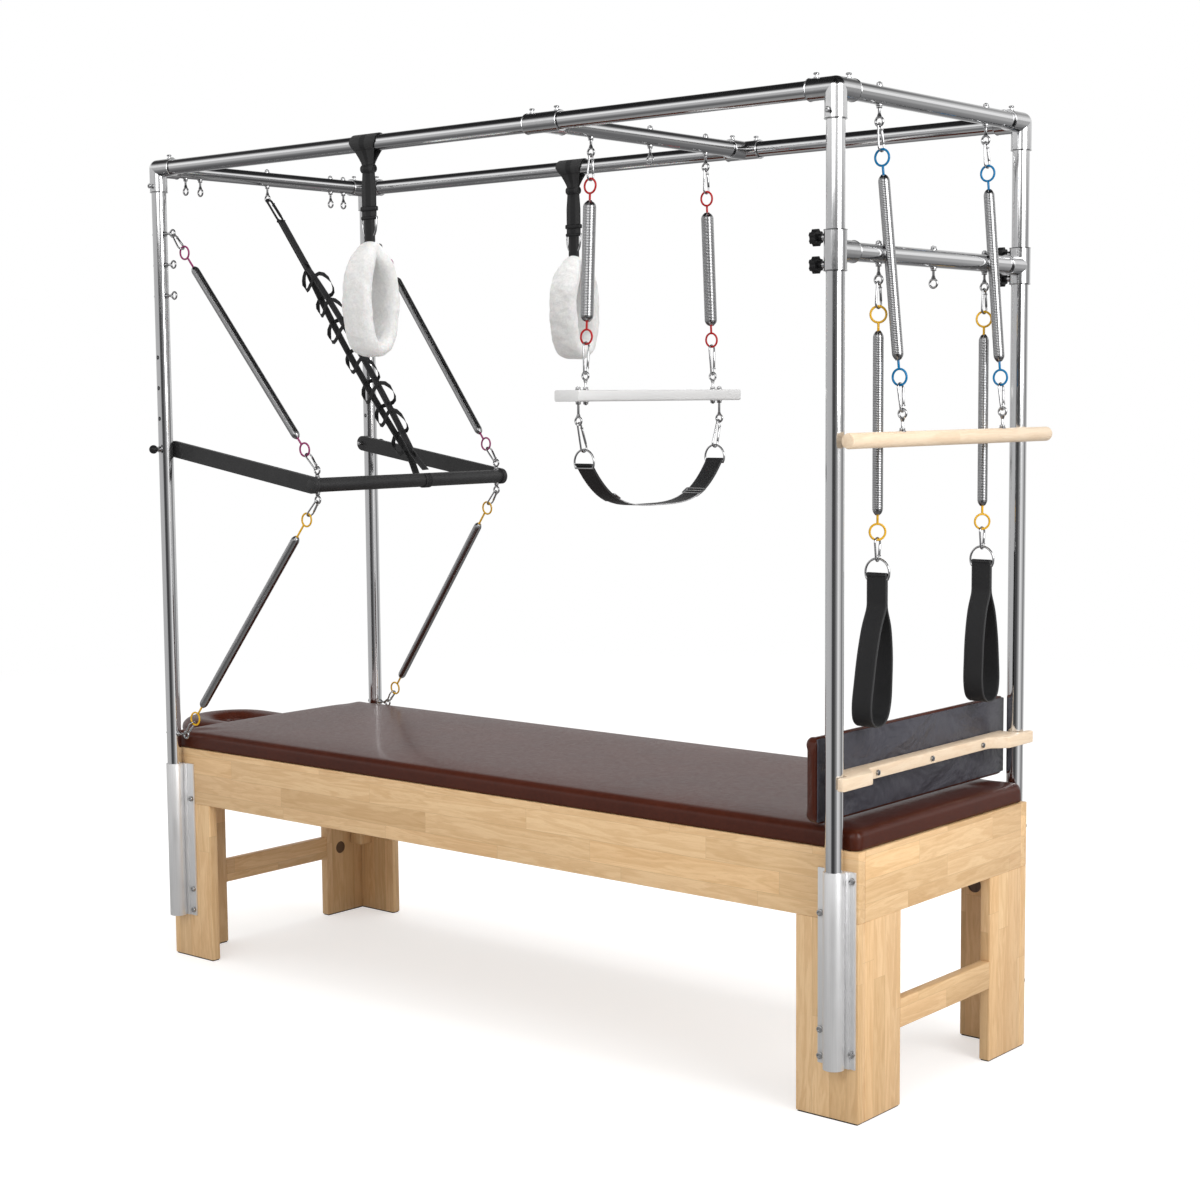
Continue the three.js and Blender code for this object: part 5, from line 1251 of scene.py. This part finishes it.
def make_sling():
    def band(path, name):
        return webbing_band(path, X_WAY, 0.05, 0.0022, wide_webbing, name)
    steps = 90
    span_points = [
        sling_place(math.sin(math.pi / 2 * (-1 + 2 * k / steps))) for k in range(steps + 1)]
    parts = [band(span_points, "sling_band")]
    for _, sy in SIDES:
        eye = spot(CROSS_X, sy * SLING_EYE_Y, 1443)
        top = spot(CROSS_X, sy * SLING_RING_Y, 1378)
        way = (top - eye).normalized()
        doubled = [sling_place(sy * (1 - 0.42 * k / 21), -2.6) for k in range(22)]
        wrap = arc(spot(CROSS_X, sy * SLING_RING_Y, 1342.4), Z_WAY * 0.0013,
                   Y_WAY * sy * 0.0036 + Z_WAY * 0.0026, 12)
        place, ahead = (sling_place(sy * share, 1.4) for share in (0.66, 0.68))
        edge = [sling_place(0.64 * (2 * k / 40 - 1), 0.0, sy * 25) for k in range(41)]
        parts += [
            snap_hook(eye + way * 0.0044, top + way * 0.0052, Y_WAY), d_ring(top),
            band(doubled, "sling_turn_back"), band(wrap, "sling_wrap"),
            tri_glide(place, ahead - place, X_WAY, 0.0285), dressed(bent_rod(edge, 0.0013), piping)]
    return joined("woven_sling", parts)


finished(make_sling(), "sling", "trapeze_sling")

dowel = round_bar(
    spot(ROLL_X, -408, ROLL_Z), spot(ROLL_X, 408, ROLL_Z), 0.016, 64, 0.005, "dowel")
parts = [dressed(dowel, beech)]
for _, sy in SIDES:
    parts.append(hung(dowel_eye, "dowel_eye", ROLL_X, sy * ROLL_Y, ROLL_Z, True))
finished(joined("roll_down_dowel", parts), "roll_down", "roll_down_bar")


# Handles, cuffs and safety strap.
def make_handle(name, sy, lean):
    """A webbing handle. Its loop leans by that many millimetres at its lowest point."""
    def band(path, thickness, part):
        return webbing_band(path, X_WAY, 0.049, thickness, wide_webbing, "handle_" + part)
    x, y = UPRIGHT_X, sy * HANG_Y
    parts = [d_ring(spot(x, y, 1160))]
    for shift in (-1.35, 1.35):
        parts.append(band([spot(x, y + shift, 1126 - 6.4 * k) for k in range(11)], 0.0024, "neck"))
    parts.append(band(arc(spot(x, y, 1124.5), Y_WAY * 0.0039, Z_WAY * 0.0054, 12), 0.0024, "fold"))
    outline = [(1.2, 1066), (4, 1052), (19, 1015), (30, 960), (35, 905), (37, 862), (31, 832),
               (17, 817.5), (0, 813.6)]
    outline += [(-reach, z) for reach, z in reversed(outline[:-1])]
    points = [spot(x, y + reach + lean * ((1066 - z) / 252) ** 1.4, z) for reach, z in outline]
    parts.append(band(through(points, 5), 0.0028, "loop"))
    return joined(name, parts)


for side, sy in SIDES:
    handle = make_handle(side + "_strap_handle", sy, -26 if sy < 0 else 4)
    finished(handle, side + "_handle_strap", side + "_handle")


def make_cuff(side, sy):
    """Webbing round the long tube with its strap and ring, and a fleece loop below."""
    def band(path, width, thickness, part, **more):
        return webbing_band(
            path, X_WAY, width, thickness, narrow_webbing, "cuff_" + part, **more)

    def keeper(half_x, half_y, low, high):
        corners = spot(x - half_x, y - half_y, low), spot(x + half_x, y + half_y, high)
        return dressed(block(*corners, 0.0025, 3), black_plastic, 35)
    x, y = -267.5, sy * UPRIGHT_Y
    wrap = arc(spot(x, y, CANOPY_Z), Y_WAY * 0.0213, Z_WAY * 0.0213, 32,
               math.radians(-52), math.radians(284))
    run = through([spot(x, y + 2.4, 2030), spot(x, y + 4, 2056), *wrap,
                   spot(x, y - 4, 2056), spot(x, y - 2.4, 2030)], 3)
    falls = [min(1.0, max(0.0, (CANOPY_Z / 1000 - place.z) / 0.055)) for place in run]
    shares = [1.0 - 0.62 * fall ** 0.8 for fall in falls]
    knot = arc(spot(x, y, 2040), Y_WAY * 0.008, Z_WAY * 0.009, 15, 0.0, math.pi * 15 / 8)
    parts = [band(run, 0.086, 0.0026, "wrap", narrowed=shares),
             band(knot, 0.04, 0.003, "knot", closed=True)]
    shares = [0.72 + 0.24 * min(1.0, k / 9) for k in range(21)]
    for shift in (-1.6, 1.6):
        run = [spot(x, y + shift, 2052 - 6.5 * k) for k in range(21)]
        parts.append(band(run, 0.047, 0.0026, "strap", narrowed=shares))
    loop = []
    for k in range(13):
        angle = math.pi * k / 12
        loop.append(spot(x + 24 * math.cos(angle), y, 1925 - 50 * math.sin(angle) ** 0.7))
    parts += [
        keeper(25, 5, 1921, 1929), dressed(bent_rod(loop, 0.0026, True, 4), bright_steel),
        band([spot(x, y, 1924 - 5.0 * k) for k in range(13)], 0.034, 0.006, "tab"),
        keeper(26, 5.5, 1941, 1952)]
    fleece_path = []
    steps, top, low = 72, 1852.0, 1615.0
    for k in range(steps):
        angle = 2 * math.pi * k / steps
        pinch = 1 - 0.55 * max(0.0, math.cos(angle)) ** 3
        reach = math.copysign(abs(math.sin(angle)) ** 0.85, math.sin(angle))
        height = (top + low) / 2 + (top - low) / 2 * math.cos(angle)
        fleece_path.append(spot(x, y + 46 * reach * pinch, height))
    pile = fleece_loop(side + "_fleece_loop", fleece_path, top / 1000)
    return joined(side + "_cuff_straps", parts), pile


def fleece_loop(name, path, top):
    """The fleece: a thick soft band round the loop, drawn in at the top, raised in tufts."""
    count = len(path)
    section = 20
    vertices, faces = [], []
    for i, point in enumerate(path):
        way = (path[(i + 1) % count] - path[i - 1]).normalized()
        out = way.cross(X_WAY).normalized()
        wide = 0.0445 * (1 - 0.42 * max(0.0, 1 - (top - point.z) / 0.045) ** 1.3)
        here, there = i * section, ((i + 1) % count) * section
        for k in range(section):
            angle = 2 * math.pi * k / section
            u, v = math.cos(angle), math.sin(angle)
            u = math.copysign(abs(u) ** 0.85, u)
            v = math.copysign(abs(v) ** 0.7, v)
            vertices.append(point + out * u * 0.0185 + X_WAY * v * wide)
            after = (k + 1) % section
            faces.append((here + k, here + after, there + after, there + k))
    piece = outward(woven(name, vertices, faces))
    use_modifier(piece, "SUBSURF", levels=2, render_levels=2)
    tufts = bpy.data.textures.new("fleece_tufts", "CLOUDS")
    tufts.noise_scale = 0.03
    tufts.noise_depth = 2
    use_modifier(
        piece, "DISPLACE", texture=tufts, strength=0.0055, mid_level=0.5, texture_coords="LOCAL")
    return dressed(piece, fleece, 180)


for side, sy in SIDES:
    straps, pile = make_cuff(side, sy)
    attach(straps, side + "_cuff")
    finished(pile, side + "_cuff", side + "_fleece_cuff")


def safety_parts():
    def band(path, across, width, thickness, part):
        return webbing_band(path, across, width, thickness, narrow_webbing, "strap_" + part)
    eye, top = spot(-UPRIGHT_X, 0, 2047), spot(-1003, 0, 1985)
    middle = spot(PUSH_CORNER_X, 52, PUSH_CORNER_Z)
    way = (middle - top).normalized()
    out = way.cross(Y_WAY).normalized()
    lean = (top - eye).normalized()
    clip = snap_hook(eye + lean * 0.0035, top + lean * 0.002, Y_WAY, 0.003, 0.0085, 0.0095)
    for material_slot in clip.material_slots:
        material_slot.material = black_plastic
    reach = (middle - top).length - 0.0198
    fold = arc(top + way * 0.004, out * 0.0042, way * -0.0045, 8)
    parts = [clip, band(fold, Y_WAY, 0.025, 0.0018, "fold")]
    joins = 0.2
    for sign in (-1, 1):
        run = []
        for k in range(41):
            share = k / 40
            past = min(1.0, max(0.0, share - joins) / (1 - joins))
            apart = 0.0016 + 0.0165 * math.sin(math.pi * past ** 0.9) ** 0.8
            if share > 0.9:
                apart = max(apart, 0.0185 * (share - 0.9) / 0.1)
            run.append(top + way * (0.004 + (reach - 0.004) * share) + out * sign * apart)
        parts.append(band(run, Y_WAY, 0.025, 0.002, "band"))
    curls, turns, steps = [], 7, 20
    for k in range(turns * steps + 1):
        number = k / steps
        angle = 2 * math.pi * number + 0.5
        grown = min(1.0, 0.12 + number * 1.4, 0.12 + (turns - number) * 1.4)
        bulge = (0.044 + 0.007 * math.sin(2.9 * number)) * grown
        share = 0.17 + 0.77 * number / turns
        drift = 0.017 * math.sin(2 * angle) + 0.009 * math.sin(1.9 * number)
        curls.append(top + way * (reach * share + drift * grown)
                     + out * bulge * math.cos(angle) + Y_WAY * 0.0156 * grown * math.sin(angle))
    wrap = arc(middle, way * 0.0197, out * 0.0197, 27, math.radians(-118), math.radians(236))
    parts += [band(curls, way, 0.011, 0.0012, "curls"), band(wrap, Y_WAY, 0.025, 0.002, "wrap")]
    ends = tuple(top + way * 0.01), tuple(top + way * (reach - 0.03))
    return joined("safety_webbing", parts), *ends


safety, strap_start, strap_end = safety_parts()
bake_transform(safety)
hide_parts("safety_strap")


# Footboard.
def foot_pad_form():
    piece = block(spot(986, -386, 622), spot(1019, 386, 806), name="foot_pad")
    round_edges(piece, runs_along(0), 0.022, 5)
    return round_edges(piece, lies_at(0, spot(986, 0, 0).x), 0.014, 4)


back_x = spot(1013.5, 0, 0).x
pad = padded_form(foot_pad_form(), 0.006, lambda place: place.x > back_x, 0.005)
cover(pad, brown_leather)
pad.name = "footboard_cushion"
back_board = block(spot(1016, -380, 628), spot(1022, 380, 800), 0.0022, name="footboard_back")
dressed(back_board, black_vinyl, 35)
pad = joined("footboard_cushion", [pad, back_board])
finished(pad, "footboard", "foot_pad")


def foot_bar_form():
    half = [(1059, 249), (1092, 283), (1092, 393), (1074.3, 393), (1074.3, 351), (1025.3, 351)]
    outline = half + [(x, -y) for x, y in reversed(half)]
    bpy.ops.mesh.primitive_circle_add(vertices=len(outline), fill_type="NGON", location=(0, 0, 0))
    piece = settle(bpy.context.object, "foot_bar_plank")
    for vertex, (x, y) in zip(piece.data.vertices, outline):
        vertex.co = spot(x, y, 701)
    only(piece)
    bpy.ops.object.mode_set(mode="EDIT")
    bpy.ops.mesh.select_all(action="SELECT")
    bpy.ops.mesh.extrude_region_move(TRANSFORM_OT_translate={"value": (0, 0, 0.026)})
    bpy.ops.mesh.select_all(action="SELECT")
    bpy.ops.mesh.normals_make_consistent(inside=False)
    close_edit(piece)
    round_edges(piece, runs_along(2), 0.006, 4)
    ease_edges(piece, 0.0022, 3)
    return dressed(piece, beech, 30)


parts = [foot_bar_form()]
for y in (-217, 0, 217):
    parts.append(dome_bolt(spot(1059, y, 713.5), X_WAY, 0.0012))
finished(joined("foot_bar_piece", parts), "footboard", "foot_bar")
discard(tube_eye, push_eye, upper_bar_eye, lower_bar_eye, dowel_eye, knob)


# Floor, light and world.
def either(tree, share, first, second):
    """A mix of two shaders, the second one by that share."""
    return put(tree, "MixShader", {0: share, 1: first.outputs[0], 2: second.outputs[0]})


def pale_floor():
    """A pale floor that keeps the soft shadow and fades into the white far away."""
    bpy.ops.mesh.primitive_circle_add(vertices=64, radius=40, fill_type="NGON", location=(0, 0, 0))
    floor = settle(bpy.context.object, "pale_floor")
    material = bpy.data.materials.new("pale_floor")
    material.use_nodes = True
    tree = material.node_tree
    tree.nodes.clear()
    place = put(tree, "TexCoord").outputs["Object"]
    away = put(tree, "VectorMath", {0: place}, operation="LENGTH").outputs["Value"]
    fade = span(tree, away, 2.2, 7.0, 0.0, 1.0)
    paint = put(tree, "BsdfDiffuse", {"Color": (0.62, 0.62, 0.62, 1)})
    clear = put(tree, "BsdfTransparent", {"Color": (1, 1, 1, 1)})
    glow, weak, under = (
        put(tree, "Emission", {"Color": (1, 1, 1, 1), "Strength": power})
        for power in (1.0, 0.52, 0.34))
    summed = put(tree, "AddShader", {0: paint.outputs[0], 1: weak.outputs[0]})
    shade = either(tree, fade, summed, glow)
    path = put(tree, "LightPath")
    mirrored = either(tree, span(tree, away, 1.3, 2.8, 0.0, 1.0), under, clear)
    other = either(tree, path.outputs["Is Glossy Ray"], paint, mirrored)
    plain = either(tree, path.outputs["Is Camera Ray"], other, shade)
    put(tree, "OutputMaterial", {"Surface": plain.outputs[0]})
    cover(floor, material)
    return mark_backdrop(floor)


def studio_world():
    world = bpy.data.worlds.new("white_studio")
    bpy.context.scene.world = world
    world.use_nodes = True
    tree = world.node_tree
    tree.nodes.clear()
    way = put(tree, "TexCoord").outputs["Generated"]
    axes = put(tree, "SeparateXYZ", {0: way})
    rise = axes.outputs["Z"]
    turned = calc(tree, "ARCTAN2", axes.outputs["Y"], axes.outputs["X"])
    round_share = calc(tree, "FRACT", span(tree, turned, -math.pi, math.pi, 0.1358, 1.1358))
    by_height = ramp(tree, span(tree, rise, -1, 1, 0, 1), [
        (0.0, (0.3, 0.3, 0.3)), (0.2, (0.2, 0.2, 0.205)), (0.33, (0.45, 0.45, 0.455)),
        (0.41, (0.92, 0.92, 0.92)), (0.5, (1, 1, 1)), (0.72, (1, 1, 1)),
        (0.785, (0.1, 0.1, 0.102)), (0.86, (0.028, 0.028, 0.03)), (1.0, (0.024, 0.024, 0.025))])
    bands = ramp(tree, round_share, [
        (0.0, (0.6, 0.6, 0.6)), (0.33, (0.55, 0.55, 0.555)), (0.37, (0.5, 0.5, 0.505)),
        (0.40, (0.07, 0.07, 0.072)), (0.475, (0.065, 0.065, 0.067)), (0.51, (0.19, 0.19, 0.192)),
        (0.565, (0.45, 0.45, 0.455)), (0.6, (1, 1, 1)), (0.67, (0.72, 0.72, 0.72)),
        (0.72, (0.38, 0.38, 0.385)), (0.765, (0.19, 0.19, 0.192)), (0.83, (0.75, 0.75, 0.75)),
        (1.0, (0.6, 0.6, 0.6))])
    mirrored = mixed(tree, 1.0, by_height, bands, "MULTIPLY")
    lamps = ramp(tree, span(tree, rise, -1, 1, 0, 1), [
        (0.53, (0, 0, 0)), (0.565, (0.95, 0.95, 0.95)), (0.68, (1, 1, 1)),
        (0.735, (0.16, 0.16, 0.16)), (0.79, (0, 0, 0))])
    behind = ramp(tree, round_share, [
        (0.06, (0.5, 0.5, 0.5)), (0.11, (1, 1, 1)), (0.89, (1, 1, 1)), (0.94, (0.5, 0.5, 0.5))])
    lamps = mixed(tree, 1.0, lamps, behind, "MULTIPLY")
    mirrored = mixed(tree, 1.0, mirrored, lamps, "LIGHTEN")
    light = put(tree, "Background", {"Color": (1.0, 0.985, 0.965, 1), "Strength": 0.84})
    mirror = put(tree, "Background", {"Color": mirrored, "Strength": 1.0})
    white = put(tree, "Background", {"Color": (1, 1, 1, 1), "Strength": 1.0})
    path = put(tree, "LightPath")
    shiny = either(tree, path.outputs["Is Glossy Ray"], light, mirror)
    seen = either(tree, path.outputs["Is Camera Ray"], shiny, white)
    put(tree, "OutputWorld", {"Surface": seen.outputs[0]})


def soft_lamp(name, place, aim, size, power, mirrored=True):
    bpy.ops.object.light_add(type="AREA", location=place)
    lamp = bpy.context.object
    lamp.name = name
    lamp.data.shape = "RECTANGLE"
    lamp.data.size, lamp.data.size_y = size
    lamp.data.energy = power
    lamp.visible_glossy = mirrored
    lamp.matrix_world = Matrix.Translation(place) @ (Vector(place) - Vector(aim)).to_track_quat(
        "Z", "Y").to_matrix().to_4x4()


pale_floor()
studio_world()
AIM = Vector((0.1, 0, 0.9))
soft_lamp("front_softbox", Vector((1.6, -4.4, 3.4)), AIM, (3.2, 2.4), 44)
soft_lamp("right_softbox", Vector((4.6, -0.8, 2.6)), AIM, (2.4, 2.4), 100)
soft_lamp("top_softbox", Vector((0.1, 0.3, 4.6)), AIM, (3.6, 2.4), 80, False)
bpy.context.scene.view_settings.view_transform = "Standard"

made_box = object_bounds()


def plain_numbers(value):
    if isinstance(value, dict):
        return {key: plain_numbers(item) for key, item in value.items()}
    if isinstance(value, (str, int, float)) or value is None:
        return value
    return [plain_numbers(item) for item in value]


{"cad": plain_numbers(cad_box), "scene": plain_numbers(made_box)}
